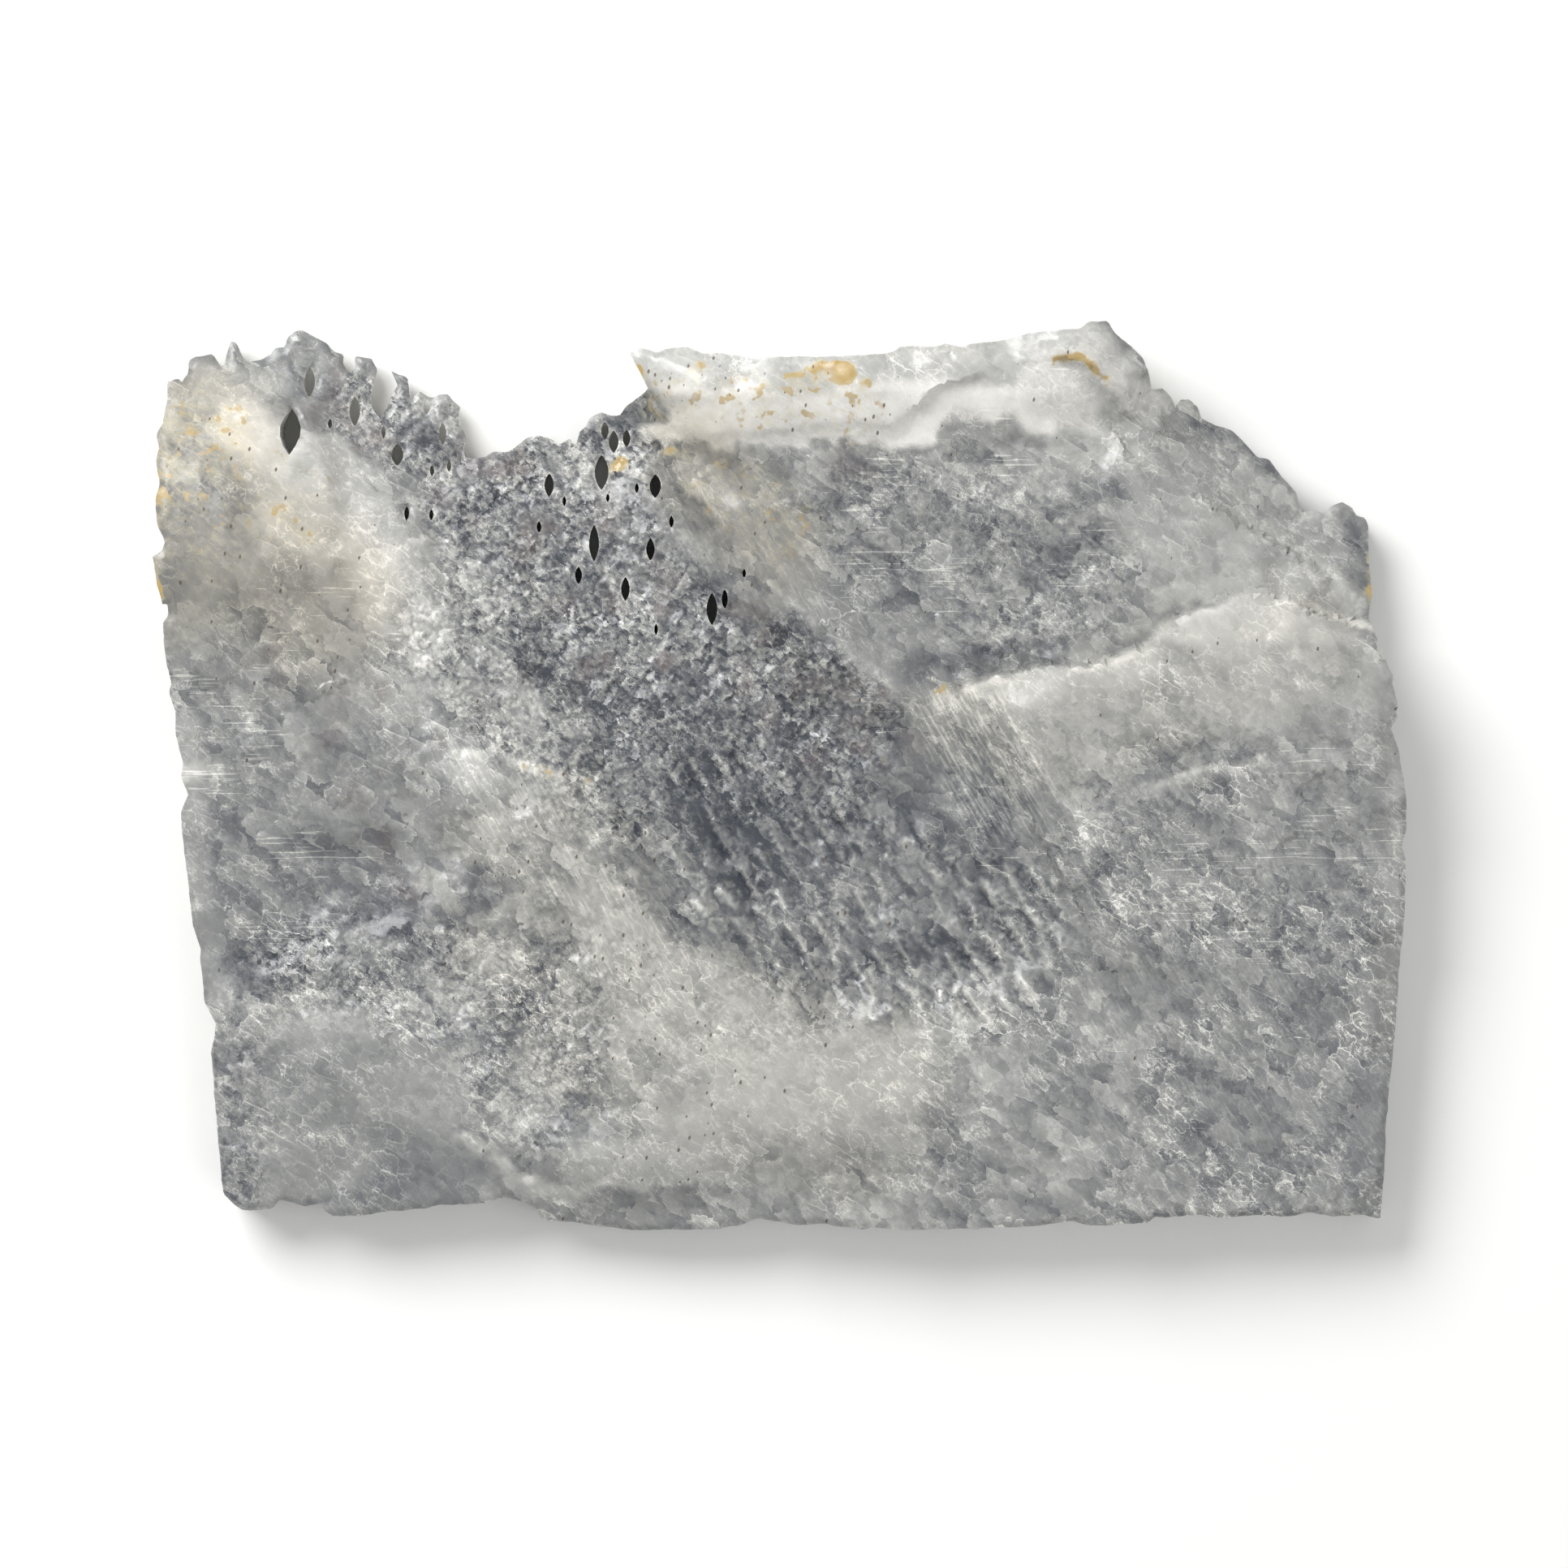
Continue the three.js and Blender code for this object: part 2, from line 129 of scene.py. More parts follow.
def lineDistance(u, v, line):
    nearest = np.full(np.shape(u), 1e9)
    if len(line) == 1:
        return np.hypot(u - line[0][0], v - line[0][1])
    for (u0, v0), (u1, v1) in zip(line, line[1:]):
        du, dv = u1 - u0, v1 - v0
        along = np.clip(((u - u0) * du + (v - v0) * dv) / (du * du + dv * dv), 0, 1)
        nearest = np.minimum(nearest, np.hypot(u - u0 - along * du, v - v0 - along * dv))
    return nearest


def smoothstep(x):
    x = np.clip(x, 0, 1)
    return x * x * (3 - 2 * x)


def painted(u, v, marks, start):
    # each mark pulls the field to its value within reach of its line, and fades out past that
    field = np.full(np.shape(u), float(start))
    for value, strength, reach, fade, line in marks:
        near = (1 - smoothstep((lineDistance(u, v, line) - reach) / fade)) * strength
        field = field * (1 - near) + value * near
    return field


# Marks say what lies where on the front. Each is (value, strength, reach, fade, line), with
# reach and fade in drawing units, and a mark goes over those before it.

# how milky the crystal is, from 0, clear and dark, to 1, white, with painted shade and painted
# light in some marks, said where they stand
milkAndShadingMarks = [
    # the white shoulder and the pale band that runs down from it
    (0.50, 1.0, 60, 70, [(260, 520), (250, 700), (330, 760)]),
    (0.44, 1.0, 42, 50, [(245, 560), (250, 640)]),
    (0.74, 1.0, 34, 40, [(250, 505), (320, 550), (360, 600), (400, 640)]),
    (0.70, 1.0, 34, 60, [(400, 640), (470, 700), (545, 770), (625, 850)]),
    (0.80, 0.8, 16, 26, [(275, 650), (300, 626), (345, 636), (382, 668)]),
    (0.52, 0.8, 26, 40, [(270, 708), (335, 720), (400, 775), (450, 810)]),
    (0.66, 0.8, 20, 40, [(470, 790), (540, 800)]),
    (0.44, 0.9, 16, 18, [(207, 560), (206, 700), (211, 780)]),
    (0.86, 0.8, 20, 40, [(400, 560), (440, 640), (480, 720)]),
    (0.92, 0.9, 20, 30, [(480, 740), (510, 790)]),
    (0.76, 0.8, 12, 20, [(210, 495), (245, 500)]),
    # the left bank
    (0.50, 1.0, 70, 70, [(270, 860), (360, 890), (470, 860), (520, 840)]),
    (0.46, 1.0, 60, 60, [(260, 960), (400, 960), (480, 930)]),
    (0.66, 0.8, 30, 40, [(520, 860), (600, 890), (650, 930)]),
    (0.40, 1.0, 60, 55, [(340, 1050), (440, 1030), (500, 1030)]),
    (0.42, 1.0, 34, 40, [(260, 1110), (320, 1100)]),
    (0.24, 1.0, 20, 40, [(310, 1190), (400, 1140), (480, 1130)]),
    (0.62, 0.8, 24, 30, [(520, 1050), (560, 1020), (600, 990)]),
    (0.60, 0.8, 10, 20, [(226, 900), (232, 1000), (240, 1100)]),
    (0.40, 0.7, 16, 24, [(440, 890), (480, 920)]),
    (0.84, 1.0, 7, 12, [(225, 955), (262, 948)]),
    # the bottom left
    (0.41, 1.0, 90, 70, [(330, 1300), (500, 1290), (560, 1250)]),
    (0.32, 1.0, 24, 30, [(292, 1265), (300, 1330), (290, 1400)]),
    (0.48, 1.0, 30, 50, [(420, 1340), (540, 1365)]),
    (0.32, 1.0, 40, 60, [(420, 1430), (540, 1430)]),
    (0.34, 0.9, 40, 40, [(480, 1200), (520, 1130), (570, 1140)]),
    (0.24, 0.8, 30, 40, [(560, 1090), (620, 1100)]),
    (0.52, 0.7, 20, 30, [(580, 1165), (610, 1180)]),
    (0.60, 0.5, 5, 14, [(330, 1195), (385, 1172), (430, 1158), (470, 1146), (520, 1128),
                        (560, 1118)]),
    (0.56, 0.5, 14, 30, [(380, 1206), (420, 1190), (460, 1170)]),
    (0.62, 0.8, 18, 34, [(290, 1250), (380, 1252), (500, 1250)]),
    (0.58, 0.7, 14, 24, [(510, 1210), (560, 1225)]),
    (0.48, 0.6, 30, 50, [(320, 1350), (420, 1360), (560, 1350)]),
    # the white mass under the valley
    (0.60, 1.0, 60, 70, [(660, 1060), (740, 1130), (860, 1240), (1000, 1300)]),
    (0.58, 1.0, 30, 40, [(622, 960), (680, 1030), (740, 1110)]),
    (0.72, 0.9, 22, 30, [(740, 1110), (800, 1180), (880, 1215), (940, 1255)]),
    (0.52, 1.0, 50, 60, [(750, 1240), (770, 1320), (840, 1370)]),
    (0.40, 0.8, 20, 40, [(720, 1380), (800, 1330)]),
    (0.66, 0.9, 22, 30, [(630, 1370), (660, 1330), (690, 1310)]),
    (0.66, 0.7, 14, 24, [(705, 1215), (715, 1250), (720, 1290)]),
    (0.76, 0.7, 14, 26, [(730, 1165), (770, 1190)]),
    (0.68, 1.0, 34, 50, [(800, 1240), (880, 1260), (960, 1285), (1080, 1290), (1150, 1290)]),
    (0.70, 0.9, 40, 60, [(820, 1330), (980, 1330), (1080, 1310)]),
    (0.80, 0.9, 22, 30, [(735, 1435), (800, 1440), (880, 1430)]),
    (0.46, 0.7, 16, 30, [(690, 1180), (700, 1230), (720, 1300)]),
    (0.36, 0.6, 12, 20, [(680, 1165), (690, 1200)]),
    # the valley
    (0.40, 1.0, 30, 50, [(600, 590), (640, 660), (720, 760), (790, 860)]),
    (0.40, 1.0, 70, 60, [(700, 620), (780, 720), (860, 800), (960, 860), (1040, 900)]),
    (0.30, 1.0, 80, 60, [(830, 930), (930, 970), (1030, 960)]),
    (0.40, 0.8, 24, 30, [(720, 910), (760, 960)]),
    (0.33, 1.0, 70, 50, [(900, 1080), (1000, 1120), (1120, 1100), (1190, 1120)]),
    (0.12, 0.9, 26, 44, [(870, 1000), (905, 1050), (930, 1090)]),
    (0.18, 0.8, 20, 34, [(930, 900), (960, 960), (1000, 1000)]),
    (0.20, 0.8, 18, 30, [(690, 820), (720, 870), (760, 900)]),
    (0.20, 0.8, 14, 26, [(640, 780), (670, 820)]),
    (0.36, 0.8, 20, 40, [(610, 570), (650, 575), (690, 600)]),
    (0.20, 0.7, 14, 24, [(700, 690), (730, 730)]),
    (0.22, 0.7, 18, 30, [(830, 850), (880, 880)]),
    (0.20, 0.7, 14, 30, [(1090, 930), (1120, 980), (1150, 1020)]),
    (0.22, 0.7, 14, 30, [(1040, 1140), (1120, 1170), (1200, 1180)]),
    (0.44, 0.6, 24, 36, [(760, 1020), (830, 1090), (880, 1140)]),
    (0.44, 0.6, 18, 30, [(745, 615), (765, 660), (775, 690)]),
    (0.42, 0.7, 10, 22, [(860, 790), (905, 800), (930, 830)]),
    (0.30, 0.6, 16, 24, [(720, 650), (745, 680)]),
    (0.56, 0.9, 14, 24, [(705, 900), (715, 975)]),
    (0.28, 0.6, 14, 24, [(870, 740), (880, 770)]),
    (0.26, 0.6, 20, 30, [(990, 780), (1030, 800)]),
    (0.36, 0.6, 16, 30, [(910, 870), (920, 950)]),
    (0.38, 0.6, 20, 40, [(960, 1130), (1090, 1160)]),
    # the bank right of it
    (0.42, 1.0, 24, 40, [(850, 590), (900, 650), (960, 720), (1030, 790), (1100, 850)]),
    (0.50, 0.9, 14, 20, [(905, 600), (960, 690), (1010, 745), (1060, 800), (1120, 850),
                         (1150, 872)]),
    (0.46, 1.0, 24, 36, [(1160, 900), (1220, 1000), (1280, 1090), (1330, 1180)]),
    (0.58, 0.8, 6, 10, [(1186, 880), (1222, 960), (1252, 1030)]),
    (0.22, 0.8, 12, 24, [(1190, 960), (1225, 1040), (1262, 1090)]),
    (0.44, 0.7, 10, 40, [(1000, 1235), (1120, 1230), (1230, 1215)]),
    # the ledge along the top
    (0.78, 1.0, 20, 20, [(800, 450), (900, 456), (1060, 460), (1240, 438), (1340, 430)]),
    # painted light: the ledge's sloping face is painted past white to offset its shade
    (1.10, 1.0, 26, 16, [(820, 508), (900, 518), (1000, 522), (1100, 516)]),
    (1.22, 1.0, 26, 24, [(1100, 514), (1180, 510), (1270, 516)]),
    (0.96, 1.0, 26, 26, [(1290, 470), (1350, 500), (1400, 540)]),
    (0.86, 1.0, 20, 24, [(1340, 440), (1405, 500), (1440, 550)]),
    # the plateau under it
    (0.56, 1.0, 20, 16, [(860, 586), (1040, 582), (1300, 578)]),
    (0.46, 1.0, 40, 30, [(1080, 630), (1290, 630)]),
    (0.46, 1.0, 60, 50, [(1100, 700), (1300, 690)]),
    # painted shadow along the right-hand block's lip
    (0.22, 1.0, 14, 22, [(1130, 826), (1220, 814), (1310, 806)]),
    (0.46, 0.8, 20, 30, [(1060, 770), (1140, 770)]),
    (0.60, 1.0, 36, 40, [(1390, 640), (1400, 700), (1480, 690)]),
    (0.26, 0.9, 18, 22, [(1050, 592), (1072, 640)]),
    (0.36, 0.7, 12, 14, [(1178, 540), (1240, 536)]),
    (0.24, 0.9, 9, 10, [(1190, 568), (1230, 568)]),
    (0.32, 0.8, 22, 30, [(1280, 690), (1330, 680)]),
    (0.30, 0.8, 26, 30, [(1190, 625), (1250, 640)]),
    (0.28, 0.8, 18, 26, [(1080, 700), (1100, 720)]),
    (0.30, 0.8, 16, 22, [(1240, 795), (1310, 790)]),
    (0.50, 0.8, 16, 20, [(1060, 620), (1090, 650)]),
    (0.50, 0.8, 20, 30, [(1250, 665), (1330, 630)]),
    (0.62, 0.8, 24, 26, [(1180, 585), (1260, 590), (1330, 570)]),
    (0.30, 0.8, 8, 16, [(1330, 600), (1370, 610)]),
    # the scaly rim
    (0.62, 1.0, 40, 30, [(1450, 560), (1520, 620), (1600, 680)]),
    (0.56, 1.0, 24, 20, [(1470, 520), (1550, 580), (1610, 640), (1670, 650)]),
    (0.30, 0.8, 7, 12, [(1475, 520), (1520, 545), (1570, 572)]),
    (0.28, 0.7, 6, 10, [(1560, 620), (1600, 630)]),
    (0.34, 0.8, 8, 14, [(1660, 640), (1682, 700), (1680, 750)]),
    (0.48, 0.7, 20, 24, [(1300, 715), (1400, 735)]),
    (0.80, 0.8, 20, 24, [(1460, 750), (1560, 735), (1620, 720), (1650, 750)]),
    (0.66, 0.7, 14, 24, [(1430, 540), (1500, 570), (1590, 630)]),
    # the right-hand block
    (0.64, 1.0, 60, 60, [(1240, 870), (1400, 865), (1550, 820), (1620, 830)]),
    (0.78, 1.0, 16, 24, [(1180, 850), (1260, 846), (1340, 842), (1420, 816), (1470, 778),
                         (1560, 752), (1640, 782)]),
    (0.76, 0.9, 22, 30, [(1480, 790), (1560, 785)]),
    (0.60, 0.9, 26, 40, [(1330, 900), (1440, 880), (1560, 870)]),
    (0.46, 1.0, 70, 60, [(1460, 1040), (1650, 1040)]),
    (0.60, 0.8, 14, 26, [(1530, 985), (1560, 1000)]),
    (0.56, 0.8, 20, 36, [(1620, 925), (1680, 935)]),
    (0.44, 0.7, 20, 30, [(1415, 965), (1480, 955), (1540, 945)]),
    (0.66, 0.9, 3, 10, [(1415, 975), (1450, 962), (1500, 952), (1556, 938)]),
    (0.30, 0.9, 12, 22, [(1322, 1040), (1340, 1070)]),
    (0.46, 1.0, 70, 50, [(1390, 1090), (1560, 1120), (1660, 1110)]),
    (0.70, 0.8, 5, 9, [(1225, 852), (1262, 920), (1291, 957), (1324, 1007), (1345, 1052),
                       (1380, 1130), (1399, 1190)]),
    (0.60, 0.7, 8, 14, [(1262, 900), (1320, 980), (1352, 1030)]),
    (0.62, 0.7, 8, 16, [(1706, 840), (1716, 960), (1718, 1100), (1712, 1240)]),
    # the lower right
    (0.42, 1.0, 90, 70, [(1440, 1230), (1640, 1230)]),
    (0.44, 1.0, 90, 60, [(1260, 1370), (1450, 1370), (1640, 1360)]),
    (0.60, 0.8, 50, 60, [(1230, 1300), (1290, 1400), (1300, 1480)]),
    (0.50, 0.7, 20, 36, [(1350, 1240), (1400, 1330)]),
    (0.42, 0.7, 26, 50, [(1330, 1330), (1420, 1330), (1500, 1350)]),
    (0.34, 0.8, 14, 30, [(1690, 1330), (1690, 1480)]),
    (0.58, 0.8, 16, 30, [(1390, 1350), (1410, 1380)]),
    (0.38, 0.7, 30, 50, [(1500, 1440), (1600, 1430), (1690, 1400)]),
    (0.46, 0.8, 10, 20, [(1200, 1494), (1400, 1492), (1640, 1484)]),
    # the lower side under the crease
    (0.54, 1.0, 22, 14, [(700, 1500), (800, 1492), (900, 1490), (1060, 1490)]),
    (0.72, 0.8, 6, 12, [(575, 1400), (640, 1448), (700, 1470), (750, 1455)]),
    # the skeletal rim
    (0.46, 1.0, 40, 30, [(250, 470), (350, 450), (450, 480), (540, 520)]),
    (0.44, 0.9, 14, 22, [(395, 500), (440, 530), (480, 550)]),
    (0.50, 0.9, 16, 18, [(480, 575), (530, 590), (560, 600)]),
    (0.66, 0.8, 10, 16, [(240, 470), (290, 470), (345, 470)]),
    (0.60, 0.8, 8, 14, [(318, 500), (345, 560), (370, 580)]),
    (0.22, 0.9, 10, 20, [(720, 535), (770, 520), (800, 505)]),
    # where the marks above overlap
    (0.84, 0.9, 20, 36, [(480, 740), (520, 785)]),
    (0.22, 0.8, 12, 20, [(585, 600), (596, 612)]),
    (0.62, 0.8, 12, 20, [(690, 560), (710, 562)]),
    (0.26, 0.7, 12, 18, [(720, 655), (722, 670)]),
    (0.30, 0.8, 14, 22, [(1300, 695), (1310, 705)]),
    (0.40, 0.8, 10, 16, [(1166, 842), (1176, 836)]),
    (0.32, 0.7, 12, 30, [(1200, 920), (1235, 980)]),
    (0.34, 0.7, 30, 30, [(380, 1060), (480, 1060)]),
    (0.12, 0.7, 14, 24, [(390, 1136), (410, 1124)]),
    (0.05, 0.9, 14, 16, [(472, 1134), (490, 1128)]),
    (0.20, 0.8, 14, 20, [(590, 1092), (606, 1094)]),
    (0.50, 0.8, 14, 20, [(525, 1080), (535, 1092)]),
    (0.12, 0.7, 16, 26, [(310, 1200), (350, 1196)]),
    (0.56, 0.8, 24, 30, [(800, 1330), (830, 1330)]),
    (0.62, 0.8, 18, 30, [(920, 1426), (1110, 1426)]),
    (0.60, 0.8, 20, 30, [(1350, 1256), (1390, 1290)]),
    (0.30, 0.8, 16, 20, [(285, 1450), (300, 1455)]),
    (0.58, 0.7, 8, 20, [(1712, 1140), (1710, 1240)]),
    (0.90, 0.8, 12, 22, [(1440, 780), (1500, 764), (1570, 760)]),
    (0.60, 0.9, 10, 16, [(215, 488), (250, 492)]),
    (0.34, 0.8, 24, 40, [(235, 575), (275, 630)]),
    (1.00, 0.8, 16, 26, [(300, 520), (345, 560)]),
    (0.62, 0.8, 10, 16, [(1370, 520), (1385, 545)]),
    (0.20, 0.7, 12, 18, [(540, 612), (556, 618)]),
    (0.58, 0.6, 24, 40, [(390, 750), (430, 800), (470, 835)]),
    (0.56, 0.5, 30, 40, [(290, 860), (400, 865)]),
    (0.72, 0.5, 24, 30, [(1500, 850), (1560, 870)]),
    (0.62, 0.5, 14, 30, [(555, 720), (575, 790)]),
    (0.46, 0.6, 12, 26, [(545, 890), (600, 930)]),
    # painted shadow along the right-hand block's lip
    (0.14, 0.8, 9, 14, [(1180, 822), (1240, 808), (1300, 802)]),
    (0.54, 0.5, 30, 40, [(290, 950), (340, 960)]),
    (0.54, 0.5, 20, 30, [(480, 960), (560, 970)]),
    (0.44, 0.5, 14, 30, [(1080, 890), (1120, 960)]),
    (0.44, 0.5, 14, 24, [(700, 925), (760, 905)]),
    (0.62, 0.6, 14, 24, [(715, 1210), (725, 1250)]),
    (0.28, 0.5, 14, 30, [(330, 1110), (400, 1100)]),
    (0.28, 0.8, 14, 16, [(505, 530), (535, 545)]),
    (0.26, 0.6, 20, 30, [(1030, 1040), (1100, 1040)]),
    (0.56, 0.7, 14, 24, [(1580, 812), (1650, 815)]),
    (0.50, 0.7, 10, 14, [(1440, 806), (1446, 812)]),
    (0.26, 0.7, 16, 24, [(975, 780), (990, 785)]),
    (0.36, 0.8, 16, 26, [(1365, 1078), (1380, 1084)]),
    (0.38, 0.7, 20, 30, [(1450, 1030), (1480, 1034)]),
    (0.38, 0.7, 20, 30, [(1650, 1260), (1670, 1264)]),
    (0.72, 0.8, 14, 24, [(590, 1175), (630, 1190)]),
    (0.54, 0.8, 26, 30, [(340, 1430), (420, 1430)]),
    (0.60, 0.8, 24, 36, [(480, 1345), (550, 1340)]),
]

# crisp edges, in the same values: painted highlights along the lit edges, painted shadows under
# the ledge and the block's lip, and the white oval
edgeHighlightShadowMarks = [
    (1.02, 0.9, 2, 5, [(806, 496), (822, 520), (856, 536), (930, 540), (1010, 536), (1090, 530),
                       (1140, 500)]),
    (0.30, 0.7, 3, 7, [(838, 552), (900, 556), (980, 554), (1020, 552)]),
    (0.34, 0.5, 8, 8, [(1172, 522), (1240, 516)]),
    (0.30, 0.8, 6, 8, [(1250, 540), (1290, 545)]),
    (0.24, 0.9, 4, 6, [(1172, 566), (1230, 566)]),
    (0.98, 0.9, 2, 5, [(1182, 848), (1250, 836), (1330, 826), (1400, 806), (1432, 786),
                       (1440, 768), (1500, 748), (1560, 738), (1620, 750), (1690, 772)]),
    (0.30, 0.7, 3, 9, [(1200, 832), (1270, 822), (1340, 810), (1400, 792), (1426, 770),
                       (1450, 752), (1500, 736)]),
    (0.90, 0.9, 2, 4, [(1225, 852), (1262, 920), (1291, 957), (1324, 1007), (1345, 1052),
                       (1380, 1130), (1399, 1190)]),
    (0.82, 0.8, 2, 4, [(1415, 970), (1450, 955), (1500, 945), (1556, 930)]),
    (0.70, 1.0, 28, 10, [(566, 956), (598, 956)]),
    (0.96, 0.8, 2, 5, [(536, 950), (550, 932), (580, 926), (606, 934), (622, 956)]),
    (0.60, 0.7, 2, 6, [(552, 976), (585, 986), (612, 974)]),
    (0.96, 0.8, 2, 5, [(575, 1400), (640, 1448), (700, 1470), (750, 1455)]),
    (0.88, 0.7, 2, 5, [(1196, 860), (1222, 930), (1262, 1010), (1300, 1090)]),
    (0.80, 0.6, 2, 6, [(856, 600), (900, 660), (960, 730), (1040, 800), (1120, 866)]),
    (0.90, 0.8, 2, 6, [(606, 920), (636, 940), (690, 952), (722, 966)]),
]

# coarse sugary crystal
crumbMarks = [
    (1.0, 1.0, 90, 60, [(640, 600), (700, 700), (790, 800), (880, 870), (980, 900)]),
    (0.9, 1.0, 50, 50, [(560, 780), (680, 900), (760, 980)]),
    (0.3, 1.0, 60, 60, [(700, 1100), (800, 1220), (1000, 1290), (1120, 1280)]),
    (0.7, 1.0, 40, 50, [(370, 1210), (480, 1200), (600, 1220)]),
    (0.6, 1.0, 30, 40, [(700, 1180), (710, 1280), (660, 1380), (590, 1330)]),
    (0.45, 1.0, 60, 50, [(1090, 630), (1200, 660), (1320, 690), (1250, 760)]),
    (0.4, 1.0, 50, 50, [(300, 1260), (320, 1340), (310, 1420)]),
    (0.25, 1.0, 60, 60, [(1330, 900), (1480, 930), (1620, 900)]),
    (0.25, 1.0, 60, 60, [(1380, 1040), (1480, 1120), (1600, 1120)]),
    (0.8, 1.0, 30, 30, [(440, 500), (500, 530), (560, 540)]),
    (0.9, 1.0, 30, 30, [(720, 560), (790, 530)]),
]

# fine level lines where the level cleavage opens
streakMarks = [
    (1.0, 1.0, 50, 40, [(1070, 590), (1230, 560), (1320, 640), (1300, 700), (1090, 700)]),
    (0.9, 1.0, 50, 50, [(300, 1130), (400, 1070), (520, 1070)]),
    (1.0, 1.0, 30, 40, [(240, 860), (300, 900), (260, 960)]),
    (0.8, 1.0, 50, 50, [(430, 840), (350, 800), (420, 760)]),
    (0.9, 1.0, 70, 60, [(1500, 980), (1660, 980), (1660, 1130), (1500, 1100)]),
    (0.7, 1.0, 60, 60, [(1240, 1330), (1450, 1430), (1640, 1400)]),
    (0.8, 1.0, 40, 40, [(480, 1180), (560, 1180), (620, 1200)]),
    (0.7, 1.0, 40, 40, [(860, 840), (1000, 850), (1090, 870)]),
    (0.7, 1.0, 40, 40, [(1240, 1080), (1280, 1100)]),
    (0.8, 1.0, 20, 20, [(1130, 450), (1300, 440)]),
]

# drawn-out white veils
wispMarks = [
    (1.0, 1.0, 110, 60, [(1330, 1200), (1480, 1260), (1620, 1300), (1450, 1400), (1620, 1440)]),
    (0.9, 1.0, 60, 60, [(1400, 1020), (1560, 1040), (1660, 1080)]),
    (0.9, 1.0, 60, 60, [(340, 1220), (480, 1230), (600, 1230)]),
    (0.6, 1.0, 50, 60, [(290, 1300), (320, 1420)]),
    (0.6, 1.0, 60, 60, [(380, 1040), (500, 1100)]),
    (0.6, 1.0, 60, 60, [(1150, 1380), (1300, 1440)]),
]

# fine lines drawn down to the right
hatchMarks = [
    (1.0, 1.0, 70, 60, [(900, 1040), (1000, 1100), (1120, 1130), (1230, 1130)]),
    (1.3, 1.0, 40, 40, [(1190, 900), (1260, 1020), (1330, 1150), (1400, 1220)]),
    (0.6, 1.0, 110, 70, [(1330, 1150), (1480, 1260), (1620, 1330), (1450, 1420)]),
    (0.5, 1.0, 60, 60, [(1380, 1000), (1560, 1060)]),
    (0.8, 1.0, 40, 50, [(600, 940), (700, 1080), (800, 1200)]),
    (0.6, 1.0, 40, 50, [(850, 600), (930, 700), (1030, 800)]),
]

# worn smooth, almost polished
smoothMarks = [
    (0.85, 1.0, 60, 50, [(230, 520), (240, 680), (330, 600), (390, 660)]),
    (0.9, 1.0, 14, 20, [(905, 600), (960, 690), (1010, 745), (1060, 800), (1120, 850),
                        (1150, 872)]),
    (0.5, 1.0, 26, 14, [(566, 956), (598, 956)]),
    (0.95, 1.0, 60, 50, [(400, 1330), (500, 1370), (520, 1430), (400, 1440)]),
    (0.7, 1.0, 36, 40, [(1200, 870), (1380, 850), (1560, 790), (1620, 850)]),
    (0.9, 1.0, 20, 20, [(1706, 840), (1718, 960), (1720, 1100), (1712, 1300), (1704, 1480)]),
    (0.9, 1.0, 20, 20, [(222, 900), (232, 1020), (240, 1120), (254, 1230)]),
    (0.6, 1.0, 40, 40, [(1400, 620), (1500, 680), (1600, 700)]),
    (0.6, 1.0, 30, 30, [(820, 500), (1000, 500), (1300, 500)]),
    (0.7, 1.0, 40, 40, [(860, 1350), (1000, 1360), (1100, 1340)]),
]

# yellow-brown clay stain
stainMarks = [
    (1.0, 1.0, 4, 10, [(200, 520), (206, 560), (200, 600), (204, 640)]),
    (0.8, 1.0, 6, 14, [(262, 528), (285, 552)]),
    (0.6, 1.0, 8, 14, [(228, 578), (262, 570)]),
    (0.7, 1.0, 4, 12, [(330, 632), (356, 640), (382, 664)]),
    (0.5, 1.0, 4, 10, [(396, 600), (410, 612)]),
    (0.5, 1.0, 3, 9, [(312, 560), (316, 575)]),
    (1.3, 1.0, 9, 9, [(974, 478), (1000, 474), (1016, 464), (1036, 466)]),
    (1.2, 1.0, 4, 7, [(1056, 502), (1062, 480)]),
    (1.3, 1.0, 4, 7, [(894, 490), (920, 488), (944, 486)]),
    (1.1, 1.0, 3, 7, [(786, 458), (792, 474)]),
    (0.9, 1.0, 3, 7, [(1020, 524), (1036, 518)]),
    (0.9, 1.0, 3, 6, [(834, 480), (840, 500)]),
    (0.7, 1.0, 4, 7, [(846, 526), (858, 528)]),
    (0.6, 1.0, 3, 7, [(866, 454), (850, 470)]),
    (1.1, 1.0, 2, 5, [(1300, 444), (1330, 448), (1345, 462)]),
    (0.8, 1.0, 2, 5, [(1352, 468), (1362, 480)]),
    (0.8, 1.0, 3, 6, [(822, 556), (846, 562)]),
    (0.7, 1.0, 7, 8, [(856, 570), (872, 592)]),
    (0.8, 1.0, 4, 6, [(752, 574), (766, 568)]),
    (0.5, 1.0, 2, 5, [(1152, 856), (1170, 850)]),
    (0.9, 1.0, 3, 6, [(194, 690), (198, 745)]),
    (0.6, 1.0, 3, 8, [(1690, 690), (1692, 740)]),
    (0.19, 0.8, 50, 60, [(240, 540), (250, 640), (350, 610)]),
    (0.36, 0.8, 14, 30, [(215, 520), (220, 600), (280, 530)]),
    (0.26, 1.0, 20, 30, [(820, 500), (1000, 500), (1060, 520)]),
    (0.18, 1.0, 30, 40, [(880, 590), (960, 650)]),
    (0.2, 1.0, 4, 10, [(640, 940), (690, 958), (720, 962)]),
]

# how many specks of brown dirt are caught in the pits
speckMarks = [
    (0.9, 1.0, 60, 50, [(660, 1030), (760, 1120), (850, 1240), (800, 1390), (860, 1340)]),
    (0.8, 1.0, 30, 30, [(800, 490), (1080, 490)]),
    (0.5, 1.0, 60, 50, [(700, 1010), (900, 1120), (1050, 1200)]),
    (0.35, 1.0, 80, 50, [(250, 600), (360, 700), (300, 850)]),
    (0.3, 1.0, 60, 50, [(850, 600), (950, 720)]),
]

